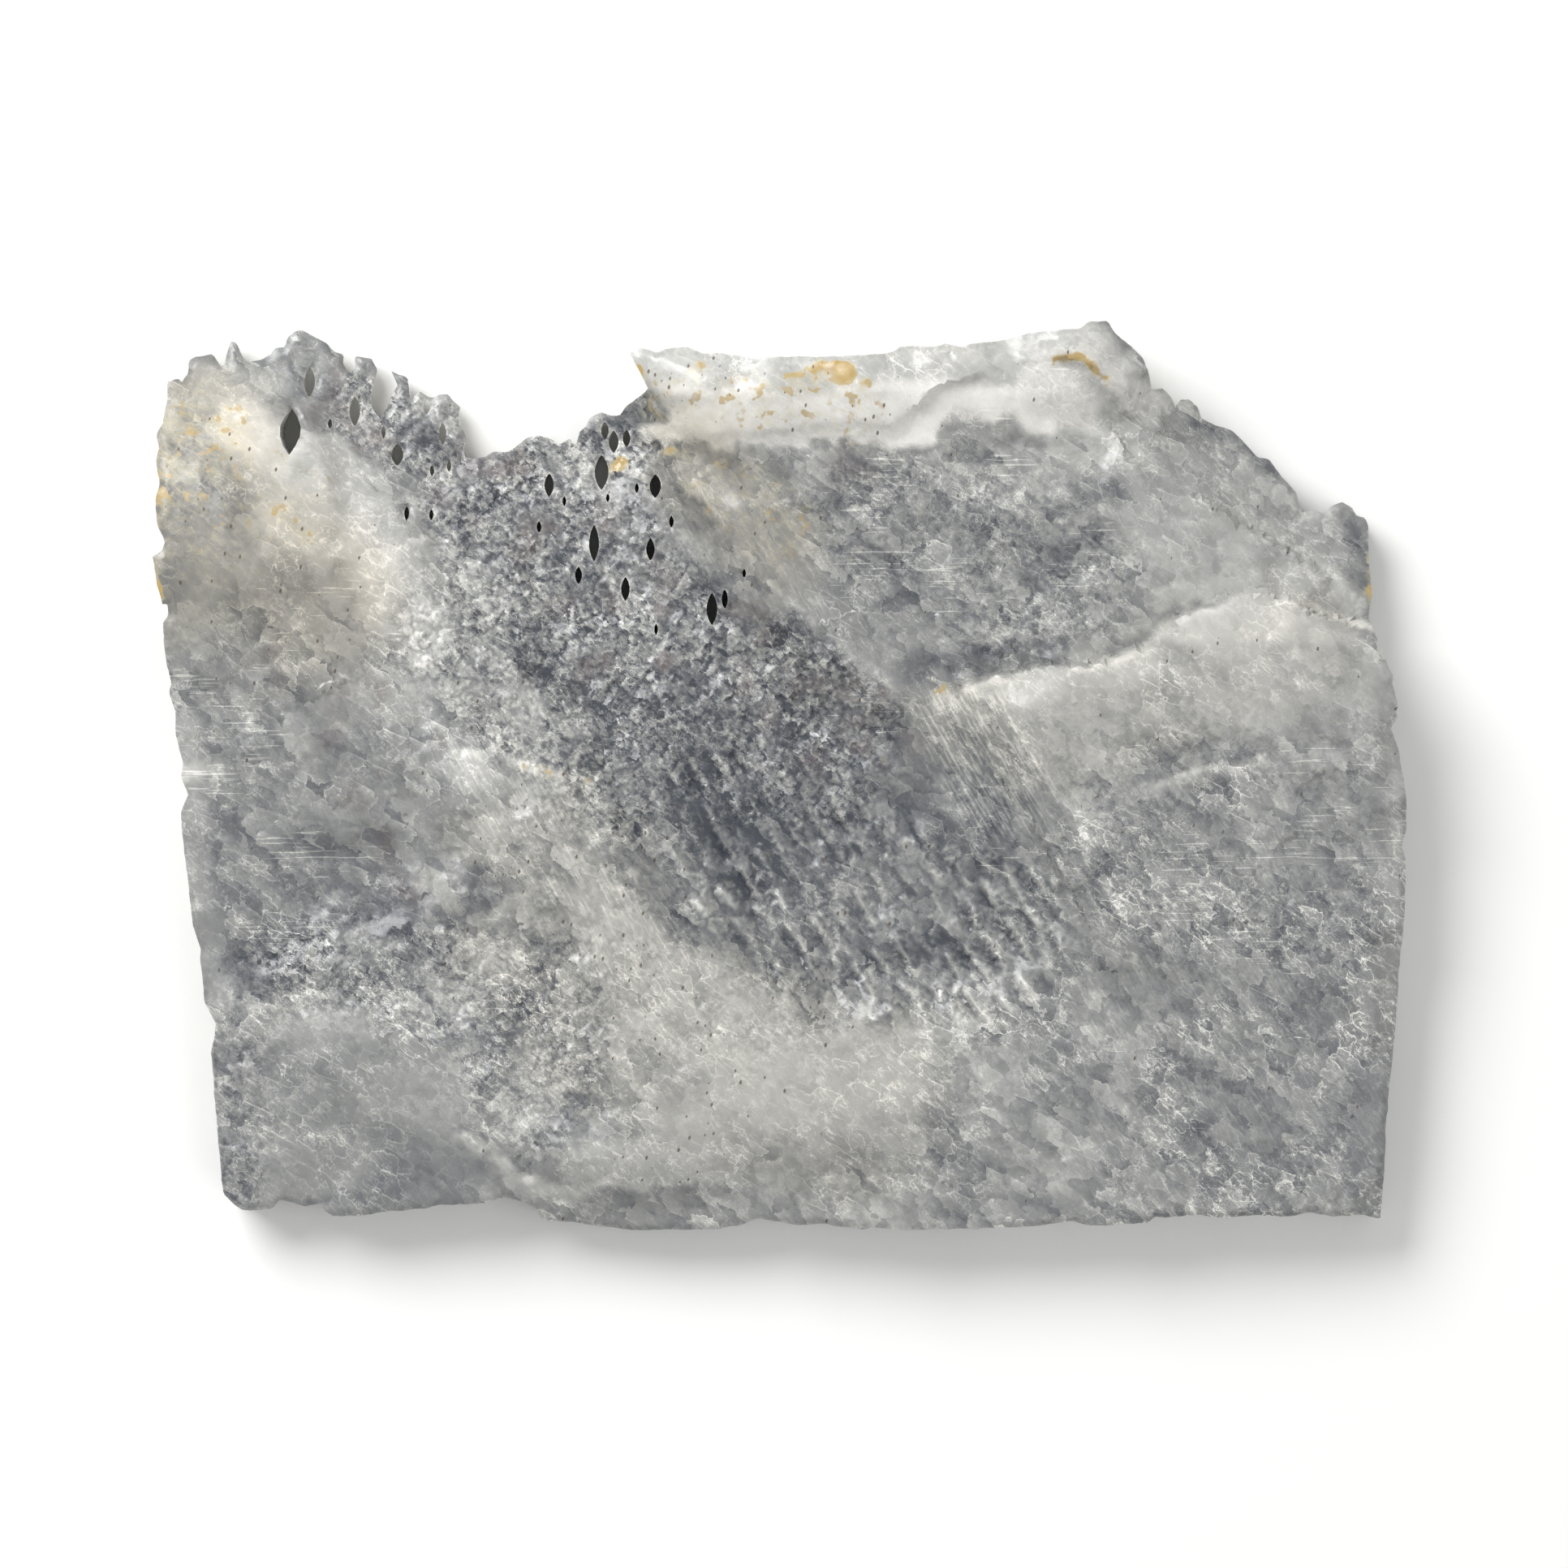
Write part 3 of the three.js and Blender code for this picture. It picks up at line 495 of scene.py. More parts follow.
# where the crystal has a cream cast
warmMarks = [
    (1.0, 1.0, 50, 90, [(240, 540), (250, 700), (330, 690), (390, 740)]),
    (0.8, 1.0, 26, 60, [(850, 570), (960, 680)]),
    (0.35, 1.0, 90, 80, [(660, 1100), (760, 1250), (1040, 1350)]),
    (0.3, 1.0, 40, 60, [(1180, 900), (1320, 900), (1600, 800)]),
]

# where the dark parts have a purple-brown cast
purpleMarks = [
    (1.0, 1.0, 60, 50, [(620, 580), (700, 660), (760, 760), (880, 820), (1060, 880)]),
    (0.8, 1.0, 40, 40, [(390, 490), (440, 510)]),
    (0.7, 1.0, 50, 50, [(330, 760), (480, 900), (470, 1060)]),
    (0.5, 1.0, 30, 30, [(1040, 600), (1070, 650)]),
]

# where the holes' walls are painted white, painted light that makes the holes look filled with
# light
paintedHoleLightMarks = [(1.0, 1.0, 70, 10, [(330, 500), (400, 480), (560, 540)]),
                   (1.0, 1.0, 30, 10, [(770, 520), (800, 540)])]

slab = {
    "sliceHeight": 0.0035,     # where the solid's outline and holes are read
    "mergeDistance": 1e-6,
    "outlineStep": 0.0008,     # spacing of the points round the outline
    "holeStep": 0.0005,
    "smallHoleStep": 0.0004,
    "holeApart": 0.0006,       # small holes keep this far from any other
    "gridStep": 0.0005,        # spacing of the heights read off the solid
    "frontEven": (0.0016, 0.0014),    # how widely heights are evened, and past what step not
    "backEven": (0.0008, 0.0005),
    "rimBand": 0.0013,         # nearer the outline than this, a height this much lower than
    "rimStep": 0.0010,         # its neighbours belongs to the side
    "frontStep": 0.00068,      # spacing of the points over the front where it is roughest
    "backStep": 0.0030,        # and over the back
    "sideRows": 11,
    "holeRows": 4,
    "ragged": 0.00045,         # how far the outline strays inwards
    "holeRagged": 0.00012,
    "reaches": (0.0030, 0.0022, 0.0016, 0.0011, 0.0007, 0.0004),    # tried depths inwards
    "inset": 0.0006,           # rim heights are read this far inside
    "reliefRise": 0.0016,      # relief grows over this width from the edge
    "rimFall": 0.0007,         # how far the edge is worn down, and over what width
    "rimFallWidth": 0.0014,
    "thinnest": 0.0035,
    "crumbDepth": 0.0006,
    "lumpDepth": 0.0005,
    "flakeDepth": 0.0003,
    "scallopDepth": 0.0009,
    "striaDepth": 0.0003,
    "plateDepth": 0.00095,     # how far the side's plates step in and out
    "plateUnit": 0.00016,
    "undercut": 0.0006,
    "backPlates": 0.00022,
    "softened": 0.003,         # how widely the worn creases are rounded
    "sharpAngle": 38,
    "crestHeight": 0.00016,
    "stainDepth": 0.004,       # stain fades over this depth down the side
}

# the smallest lens-shaped holes: (u, v, tall, wide)
smallHoles = [
    (827, 642, 14, 5), (500, 632, 18, 5), (530, 633, 14, 5), (663, 648, 14, 5),
    (917, 707, 11, 4), (748, 612, 11, 4), (808, 775, 14, 4), (694, 616, 12, 4), (530, 578, 14, 5),
    (551, 572, 14, 5), (470, 530, 16, 5), (404, 520, 12, 4), (784, 600, 12, 4),
]


def solidCopy(node):
    # the node's loose triangles, merged
    bm = bmesh.new()
    bm.from_mesh(node.data)
    bmesh.ops.remove_doubles(bm, verts=bm.verts, dist=slab["mergeDistance"])
    return bm


def sliceLoops(node, height):
    bm = solidCopy(node)
    parts = bm.verts[:] + bm.edges[:] + bm.faces[:]
    cut = bmesh.ops.bisect_plane(bm, geom=parts, dist=1e-7, plane_co=(0, 0, height),
                                 plane_no=(0, 0, 1))["geom_cut"]
    ring = {}
    for edge in (e for e in cut if isinstance(e, bmesh.types.BMEdge)):
        a, b = edge.verts
        ring.setdefault(a, []).append(b)
        ring.setdefault(b, []).append(a)
    loops, used = [], set()
    for start in ring:
        if start in used:
            continue
        loop, here = [], start
        while here is not None:
            used.add(here)
            loop.append((here.co.x, here.co.y))
            here = next((v for v in ring[here] if v not in used), None)
        loops.append(np.array(loop))
    bm.free()
    return loops


def signedArea(loop):
    x, y = loop[:, 0], loop[:, 1]
    return 0.5 * np.sum(x * np.roll(y, -1) - np.roll(x, -1) * y)


def lengthAlong(loop):
    # how far along the loop each point is, and at the end its whole length
    lengths = np.hypot(*(np.roll(loop, -1, 0) - loop).T)
    return np.concatenate([[0], np.cumsum(lengths)])


def resampled(loop, step):
    closed = np.vstack([loop, loop[:1]])
    along = lengthAlong(loop)
    count = max(int(round(along[-1] / step)), 8)
    at = np.linspace(0, along[-1], count, endpoint=False)
    return np.stack([np.interp(at, along, closed[:, 0]), np.interp(at, along, closed[:, 1])], -1)


def outwardNormals(loop):
    # for a loop that runs anticlockwise round the crystal, or clockwise round a hole
    ahead, behind = np.roll(loop, -1, 0), np.roll(loop, 1, 0)
    along = ahead - behind
    normal = np.stack([along[:, 1], -along[:, 0]], -1)
    return normal / np.maximum(np.hypot(*normal.T), 1e-12)[:, None]


def evenNormals(loop):
    # averaged along the loop, so that a side set in along them doesn't cross itself
    normal = outwardNormals(loop)
    reach = min(4, len(loop) // 6)
    total = sum(np.roll(normal, k, 0) for k in range(-reach, reach + 1))
    return total / np.maximum(np.hypot(*total.T), 1e-12)[:, None]


def roomInward(points, normals, rims):
    # how far each point may move inwards before it nears the other side of the crystal
    room = np.full(len(points), slab["reaches"][0])
    for reach in slab["reaches"]:
        moved = points - normals * reach
        near = np.array([rims.find((x, y, 0))[2] for x, y in moved])
        room = np.where(near < 0.6 * reach, 0.35 * reach, room)
    return room


def flatTree(points):
    tree = KDTree(len(points))
    for k, (x, y) in enumerate(points):
        tree.insert((x, y, 0), k)
    tree.balance()
    return tree


def lensLoop(u, v, tall, wide):
    points = []
    for side in (1, -1):
        for share in range(5):
            along = (share / 5 - 0.5) * side
            bulge = math.cos(math.pi * along) ** 0.85
            points.append((u + side * wide / 2 * bulge, v + tall * along))
    return toMetres(points)


def insideLoops(points, loops):
    inside = np.zeros(len(points), bool)
    x, y = points[:, 0], points[:, 1]
    for loop in loops:
        nx, ny = np.roll(loop[:, 0], -1), np.roll(loop[:, 1], -1)
        low, high = loop.min(0), loop.max(0)
        near = (y >= low[1]) & (y <= high[1]) & (x <= high[0])
        px, py = x[near][:, None], y[near][:, None]
        crossed = np.zeros(near.sum(), int)
        for k in range(0, len(loop), 200):
            ax, ay = loop[k:k + 200, 0], loop[k:k + 200, 1]
            bx, by = nx[k:k + 200], ny[k:k + 200]
            spans = (ay > py) != (by > py)
            with np.errstate(divide="ignore", invalid="ignore"):
                at = ax + (py - ay) * (bx - ax) / (by - ay)
            crossed += (spans & (px < at)).sum(1)
        inside[near] ^= crossed % 2 == 1
    return inside


class heightField:
    # the solid's front or back height on a fine grid, filled past its edge and evened out
    def __init__(self, tree, fromAbove, spread, keep, outline):
        self.step = slab["gridStep"]
        low, high = cadBox
        margin = 0.002
        self.x0, self.y0 = low.x - margin, low.y - margin
        self.columns = int((high.x - low.x + 2 * margin) / self.step) + 2
        self.rows = int((high.y - low.y + 2 * margin) / self.step) + 2
        grid = self.measured(tree, fromAbove)
        self.clearSteps(grid, fromAbove, outline)
        self.fillGaps(grid)
        self.grid = self.evened(self.evened(grid, spread, keep), spread, keep)
        if fromAbove:
            self.wearCreases()

    def measured(self, tree, fromAbove):
        low, high = cadBox
        start = high.z + 0.01 if fromAbove else low.z - 0.01
        down = Vector((0, 0, -1 if fromAbove else 1))
        grid = np.full((self.rows, self.columns), np.nan)
        for j in range(self.rows):
            y = self.y0 + j * self.step
            for i in range(self.columns):
                hit = tree.ray_cast(Vector((self.x0 + i * self.step, y, start)), down)[0]
                if hit is not None:
                    grid[j, i] = hit.z
        return grid

    def clearSteps(self, grid, fromAbove, outline):
        # beside the outline, cells on a lower step of the side take the height further in
        highest = np.nan_to_num(grid if fromAbove else -grid, nan=-1.0)
        for shifted in self.shifts(highest, 4, -1.0):
            highest = np.maximum(highest, shifted)
        under = highest - (grid if fromAbove else -grid) > slab["rimStep"]
        for j, i in zip(*np.nonzero(under)):
            cell = (self.x0 + i * self.step, self.y0 + j * self.step, 0)
            if outline.find(cell)[2] < slab["rimBand"]:
                grid[j, i] = np.nan

    def fillGaps(self, grid):
        while np.isnan(grid).any():
            around = np.stack(self.shifts(grid, 1, np.nan))
            known = ~np.isnan(around)
            count = known.sum(0)
            total = np.where(known, around, 0).sum(0)
            fill = np.isnan(grid) & (count > 0)
            grid[fill] = (total / np.maximum(count, 1))[fill]

    def shifts(self, grid, reach, outside):
        # the grid moved to each neighbour within reach
        padded = np.pad(grid, reach, constant_values=outside)
        steps = range(2 * reach + 1)
        return [padded[dj:dj + self.rows, di:di + self.columns]
                for dj in steps for di in steps if (di, dj) != (reach, reach)]

    def wearCreases(self):
        gx, gy = np.meshgrid(self.x0 + np.arange(self.columns) * self.step,
                             self.y0 + np.arange(self.rows) * self.step)
        worn = painted(*toDrawing(gx, gy), creaseMarks, 0.0)
        soft = self.grid
        for _ in range(2):
            soft = self.evened(soft, slab["softened"], 1.0)
        self.grid = self.grid * (1 - worn) + soft * worn

    def evened(self, grid, spread, keep):
        # neighbours count less the further off, and the more their height differs, so steps stay
        reach = int(2 * spread / self.step)
        padded = np.pad(grid, reach, mode="edge")
        total, weights = np.zeros_like(grid), np.zeros_like(grid)
        for dj in range(-reach, reach + 1):
            for di in range(-reach, reach + 1):
                away = (di * di + dj * dj) * self.step ** 2
                if away > (2 * spread) ** 2:
                    continue
                row, column = reach + dj, reach + di
                other = padded[row:row + self.rows, column:column + self.columns]
                weight = np.exp(-away / (2 * spread ** 2) - (other - grid) ** 2 / (2 * keep ** 2))
                total += weight * other
                weights += weight
        return total / weights

    def at(self, x, y):
        gx = np.clip((x - self.x0) / self.step, 0, self.columns - 1.001)
        gy = np.clip((y - self.y0) / self.step, 0, self.rows - 1.001)
        i, j = gx.astype(int), gy.astype(int)
        fx, fy = gx - i, gy - j
        g = self.grid
        return ((g[j, i] * (1 - fx) + g[j, i + 1] * fx) * (1 - fy)
                + (g[j + 1, i] * (1 - fx) + g[j + 1, i + 1] * fx) * fy)


def warped(u, v):
    # marks are read a little off their place, so that no edge of a mark is a clean curve
    return (u + 13 * softNoise(u, v, 46, 301, 3) + 5 * softNoise(u, v, 13, 311, 2),
            v + 13 * softNoise(u, v, 46, 331, 3) + 5 * softNoise(u, v, 13, 341, 2))


# creases that wear has rounded
creaseMarks = [
    (1.0, 1.0, 26, 34, [(540, 1385), (600, 1420), (690, 1480), (780, 1457), (880, 1433),
                        (1090, 1432)]),
    (1.0, 1.0, 30, 30, [(1093, 1340), (1093, 1432)]),
    (0.8, 1.0, 16, 20, [(810, 520), (900, 524), (1000, 520), (1100, 515)]),
    (0.8, 1.0, 14, 26, [(1195, 862), (1262, 960), (1320, 1080), (1356, 1165)]),
    (0.9, 1.0, 26, 30, [(280, 1215), (400, 1160), (500, 1130), (560, 1100), (640, 1095)]),
    (0.9, 1.0, 40, 30, [(550, 940), (610, 960)]),
    (0.9, 1.0, 50, 40, [(245, 560), (265, 640)]),
]

# short ridges in steps, and straight grooves
scallopMarks = [(1.0, 1.0, 90, 50, [(900, 1020), (980, 1090), (1100, 1130), (1200, 1150)])]
striaMarks = [
    (1.0, 1.0, 50, 50, [(1180, 890), (1250, 1010), (1330, 1130), (1420, 1180)]),
    (0.5, 1.0, 30, 40, [(840, 600), (900, 680), (960, 780)]),
]


def scallopRidges(u, v):
    # short ridges in steps beside each other, each with a gentle and a steep flank
    along, across = turned(u, v, 58)
    run = along / 62 + 0.55 * softNoise(u, v, 44, 471, 2)
    part = run - np.floor(run)
    aside = hashed(np.floor(run), np.floor(across / 130), 475)
    phase = ((across + 5 * softNoise(u, v, 40, 481, 2)) / 31 + aside) % 1.0
    ridge = np.where(phase < 0.72, phase / 0.72, (1 - phase) / 0.28) * 2 - 1
    ridge = ridge * smoothstep(part / 0.3) * smoothstep((1 - part) / 0.3)
    return ridge * (0.75 + 0.5 * softNoise(u, v, 50, 491))


def frontDetail(u, v, edge):
    # fine relief in metres over the solid's own, and how sugary it is there
    wu, wv = warped(u, v)
    crumb = painted(wu, wv, crumbMarks, 0.1)
    smooth = painted(wu, wv, smoothMarks, 0.0)
    scallop = painted(wu, wv, scallopMarks, 0.0)
    stria = painted(wu, wv, striaMarks, 0.0)
    crumb = crumb * (1 - 0.85 * smooth)
    lumps = 0.8 * softNoise(u, v, 62, 401, 3) + 0.6 * shards(wu, wv, 52, 411) * (1 - 0.5 * crumb)
    coarse = shards(u + 6 * softNoise(u, v, 17, 421), v + 6 * softNoise(u, v, 17, 431), 21, 441)
    fine = shards(u + 3 * softNoise(u, v, 9, 451), v, 10.5, 461)
    grains = (0.8 * coarse + 0.45 * fine) * (1 - 0.45 * scallop)
    along, across = turned(u, v, 66)
    grooves = softNoise(along / 14, across, 8, 501, 3, 0.7)
    flakes = shards(wu, wv, 29, 521) * (1 - 0.7 * crumb)
    relief = slab["lumpDepth"] * lumps * (1 - 0.5 * smooth)
    relief = relief + slab["flakeDepth"] * flakes * (1 - smooth)
    relief = relief + slab["crumbDepth"] * crumb * grains
    relief = relief + slab["scallopDepth"] * scallop * scallopRidges(u, v)
    relief = relief + slab["striaDepth"] * stria * grooves
    return relief * smoothstep(edge / slab["reliefRise"]), crumb


def solidLoops():
    # the solid's outline and then its holes, as evenly spaced points
    loops = []
    for loop in sliceLoops(slabNode, slab["sliceHeight"]):
        isHole = abs(signedArea(loop)) < 0.001
        loops.append(resampled(loop, slab["holeStep" if isHole else "outlineStep"]))
    return sorted(loops, key=lambda loop: -abs(signedArea(loop)))


def withSmallHoles(loops):
    for hole in smallHoles:
        loop = resampled(lensLoop(*hole), slab["smallHoleStep"])
        others = flatTree(np.vstack(loops))
        if min(others.find((x, y, 0))[2] for x, y in loop) > slab["holeApart"]:
            loops = loops + [loop]
        else:
            print("slab: hole", hole, "meets another and is left out")
    return loops


def raggedLoops(loops):
    # the outline runs anticlockwise and each hole clockwise, and all stray into the crystal
    others = flatTree(np.vstack(loops))
    ragged = []
    for k, loop in enumerate(loops):
        if (signedArea(loop) > 0) != (k == 0):
            loop = loop[::-1]
        u, v = toDrawing(*loop.T)
        normals = evenNormals(loop)
        stray = 0.5 * (1 + softNoise(u, v, 15, 601 + k, 3, 0.65))
        amount = slab["ragged"] if k == 0 else slab["holeRagged"]
        amount = np.minimum(amount * stray, roomInward(loop, normals, others))
        ragged.append(loop - normals * amount[:, None])
    return ragged


class slabRims:
    # the edges of the outline and the holes, which the front, the sides and the back share
    def __init__(self, loops):
        self.loops = raggedLoops(loops)
        self.points = np.vstack(self.loops)
        self.near = flatTree(self.points)
        self.normals = np.vstack([evenNormals(loop) for loop in self.loops])
        self.deepest = roomInward(self.points, self.normals, self.near)
        inset = np.minimum(slab["inset"], self.deepest)
        self.inward = self.points - self.normals * inset[:, None]
        starts = np.cumsum([0] + [len(loop) for loop in self.loops]).tolist()
        self.spans = [slice(start, stop) for start, stop in zip(starts, starts[1:])]
        print("slab:", len(self.loops), "loops,", len(self.points), "rim points")

    def distance(self, points):
        return np.array([self.near.find((x, y, 0))[2] for x, y in points])

    def filled(self, step, seed, thinned):
        # points inside the rims, with fewer where the front is smooth if it is thinned
        low, high = self.points.min(0), self.points.max(0)
        rng = np.random.default_rng(seed)
        xs = np.arange(low[0], high[0], step)
        ys = np.arange(low[1], high[1], step * 0.87)
        gx, gy = np.meshgrid(xs, ys)
        gx[1::2] += step / 2
        points = np.stack([gx.ravel(), gy.ravel()], -1)
        points += rng.uniform(-0.26, 0.26, points.shape) * step
        if thinned:
            wu, wv = warped(*toDrawing(*points.T))
            wanted = 0.66 + 0.40 * painted(wu, wv, crumbMarks, 0.32)
            wanted = wanted * (1 - 0.5 * painted(wu, wv, smoothMarks, 0.0))
            points = points[rng.random(len(points)) < wanted]
        points = points[insideLoops(points, self.loops)]
        return points[self.distance(points) > 0.55 * step]

    def triangulated(self, ring, inner):
        # places, triangles, which place each rim point has, and where to read each height,
        # which for the rim's own points is a little further in
        points = np.vstack([ring, inner])
        edges = []
        for span in self.spans:
            n = span.stop - span.start
            edges += [(span.start + k, span.start + (k + 1) % n) for k in range(n)]
        made = delaunay_2d_cdt([Vector(p) for p in points.tolist()], edges, [], 0, 1e-9)
        places = np.array([tuple(p) for p in made[0]])
        faces = np.array(made[2])
        source = np.array([o[0] if o else -1 for o in made[3]])
        if len(places) != len(points) or (source < 0).any():
            print("slab: rims cross or points merge:", len(points), "became", len(places))
        faces = faces[insideLoops(places[faces].mean(1), [ring[span] for span in self.spans])]
        onRim = (source >= 0) & (source < len(ring))
        ringPlaces = np.empty(len(ring), int)
        ringPlaces[source[onRim]] = np.nonzero(onRim)[0]
        heightAt = places.copy()
        heightAt[onRim] = self.inward[source[onRim]]
        return places, faces, ringPlaces, heightAt


def makeFront(rims, front):
    inner = rims.filled(slab["frontStep"], 5, True)
    print("slab:", len(inner), "front points")
    places, faces, ringPlaces, heightAt = rims.triangulated(rims.points, inner)
    edge = rims.distance(places)
    relief, crumb = frontDetail(*toDrawing(*places.T), edge)
    z = front.at(*heightAt.T) + relief
    z = z - slab["rimFall"] * (1 - smoothstep(edge / slab["rimFallWidth"])) * (1 - crumb)
    z = np.maximum(z, slab["thinnest"])
    return np.column_stack([places, z]), faces, ringPlaces


def makeBack(rims, back, ring):
    inner = rims.filled(slab["backStep"], 6, False)
    print("slab:", len(inner), "back points")
    places, faces, ringPlaces, heightAt = rims.triangulated(ring, inner)
    u, v = toDrawing(*places.T)
    z = back.at(*heightAt.T)
    z = z + slab["backPlates"] * (1 + shards(u * 0.35, v, 44, 801, 0.2))
    return np.column_stack([places, np.maximum(z, 0)]), faces[:, ::-1], ringPlaces


class slabSide:
    # the sides from the front's rim down to the back's, stepped like a book of plates
    def __init__(self, rims, front, back, top):
        self.rims = rims
        self.top = top
        self.low = back.at(*rims.inward.T)
        self.u, self.v = toDrawing(*rims.points.T)
        # there is less room for plates where the slab is thin, and little in a hole
        thick = smoothstep((front.at(*rims.inward.T) - 0.009) / 0.008)
        outer = np.arange(len(rims.points)) < len(rims.loops[0])
        self.room = np.where(outer, thick * 0.85 + 0.15, 0.1)

    def points(self, share):
        z = self.top + (self.low - self.top) * share
        level = z / slab["plateUnit"]
        plates = shards(self.u * 0.9 + self.v * 0.9, level, 21, 701, 0.7)
        grain = softNoise(self.u + 0.7 * self.v, level * 2.4, 12, 711, 2)
        taper = smoothstep(share / 0.16)
        depth = slab["plateDepth"] * self.room * taper * (0.62 - 0.5 * plates - 0.3 * grain)
        depth = depth + slab["undercut"] * self.room * smoothstep((share - 0.9) / 0.1)
        depth = np.clip(depth, 0, self.rims.deepest)[:, None]
        return np.column_stack([self.rims.points - self.rims.normals * depth, z])


class slabMesh:
    # the points and triangles as they are added, with each triangle's material slot and, on
    # the sides, how far along its loop each corner is
    def __init__(self):
        self.places, self.faces, self.slots, self.girths = [], [], [], []
        self.count = 0

    def addPoints(self, places):
        self.places.append(places)
        self.count += len(places)
        return np.arange(self.count - len(places), self.count)

    def addFaces(self, faces, slot, girth=None):
        self.faces.append(faces)
        self.slots.append(np.full(len(faces), slot))
        self.girths.append(girth)

    def addWall(self, above, below, along):
        nextAbove, nextBelow = np.roll(above, -1), np.roll(below, -1)
        start, end = along[:-1], along[1:]
        self.addFaces(np.stack([above, below, nextBelow], -1), 1,
                      np.stack([start, start, end], -1))
        self.addFaces(np.stack([above, nextBelow, nextAbove], -1), 1,
                      np.stack([start, end, end], -1))

    def made(self, name):
        vertices, triangles = np.vstack(self.places), np.vstack(self.faces)
        print("slab:", len(vertices), "points,", len(triangles), "triangles")
        mesh = bpy.data.meshes.new(name)
        mesh.from_pydata(vertices.tolist(), [], triangles.tolist())
        mesh.polygons.foreach_set("material_index", np.concatenate(self.slots))
        mesh.shade_smooth()
        mesh.set_sharp_from_angle(angle=math.radians(slab["sharpAngle"]))
        grain = mesh.attributes.new("grainPlace", "FLOAT_VECTOR", "CORNER")
        grain.data.foreach_set("vector", self.grainPlaces(vertices).astype(np.float32).ravel())
        piece = bpy.data.objects.new(name, mesh)
        bpy.context.scene.collection.objects.link(piece)
        return piece, vertices, triangles

    def grainPlaces(self, vertices):
        # the crystal's fine patterns lie flat on the front and back, stand up on steep faces
        # there, and run round the sides like a band
        bands = []
        for block, girth in zip(self.faces, self.girths):
            corners = vertices[block]
            if girth is None:
                leans = np.cross(corners[:, 1] - corners[:, 0], corners[:, 2] - corners[:, 0])
                steep = np.abs(leans[:, 2]) < 0.5 * np.linalg.norm(leans, axis=1)
                sideways = steep & (np.abs(leans[:, 0]) > np.abs(leans[:, 1]))
                band = corners * (1, 1, 0)
                band[steep, :, 1] = corners[steep, :, 2]
                band[sideways, :, 0] = corners[sideways, :, 1]
                bands.append(band)
            else:
                bands.append(np.stack([girth, corners[..., 2], np.zeros_like(girth)], -1))
        return np.vstack(bands)


def makeSlab():
    print("slab: reading the solid")
    bm = solidCopy(slabNode)
    tree = BVHTree.FromBMesh(bm)
    bm.free()
    loops = solidLoops()
    outline = flatTree(np.vstack(loops))
    front = heightField(tree, True, *slab["frontEven"], outline)
    back = heightField(tree, False, *slab["backEven"], outline)
    rims = slabRims(withSmallHoles(loops))
    frontPlaces, frontFaces, frontRing = makeFront(rims, front)
    side = slabSide(rims, front, back, frontPlaces[frontRing, 2])
    backPlaces, backFaces, backRing = makeBack(rims, back, side.points(1.0)[:, :2])

    mesh = slabMesh()
    mesh.addPoints(frontPlaces)
    mesh.addFaces(frontFaces, 0)
    lastRows = []
    for k, (loop, span) in enumerate(zip(rims.loops, rims.spans)):
        rows = slab["sideRows"] if k == 0 else slab["holeRows"]
        above = frontRing[span]
        for row in range(1, rows):
            below = mesh.addPoints(side.points(row / rows)[span])
            mesh.addWall(above, below, lengthAlong(loop))
            above = below
        lastRows.append(above)
    backPoints = mesh.addPoints(backPlaces)
    mesh.addFaces(backPoints[backFaces], 1)
    for loop, span, above in zip(rims.loops, rims.spans, lastRows):
        mesh.addWall(above, backPoints[backRing[span]], lengthAlong(loop))
    piece, vertices, triangles = mesh.made("slabCrystal")
    paintSlab(piece, vertices, triangles, front)
    return piece


def meanOfNeighbours(values, triangles):
    total, count = np.zeros(len(values)), np.zeros(len(values))
    for a, b in ((0, 1), (1, 2), (2, 0)):
        for one, other in ((a, b), (b, a)):
            np.add.at(total, triangles[:, one], values[triangles[:, other]])
            np.add.at(count, triangles[:, one], 1)
    return total / np.maximum(count, 1)


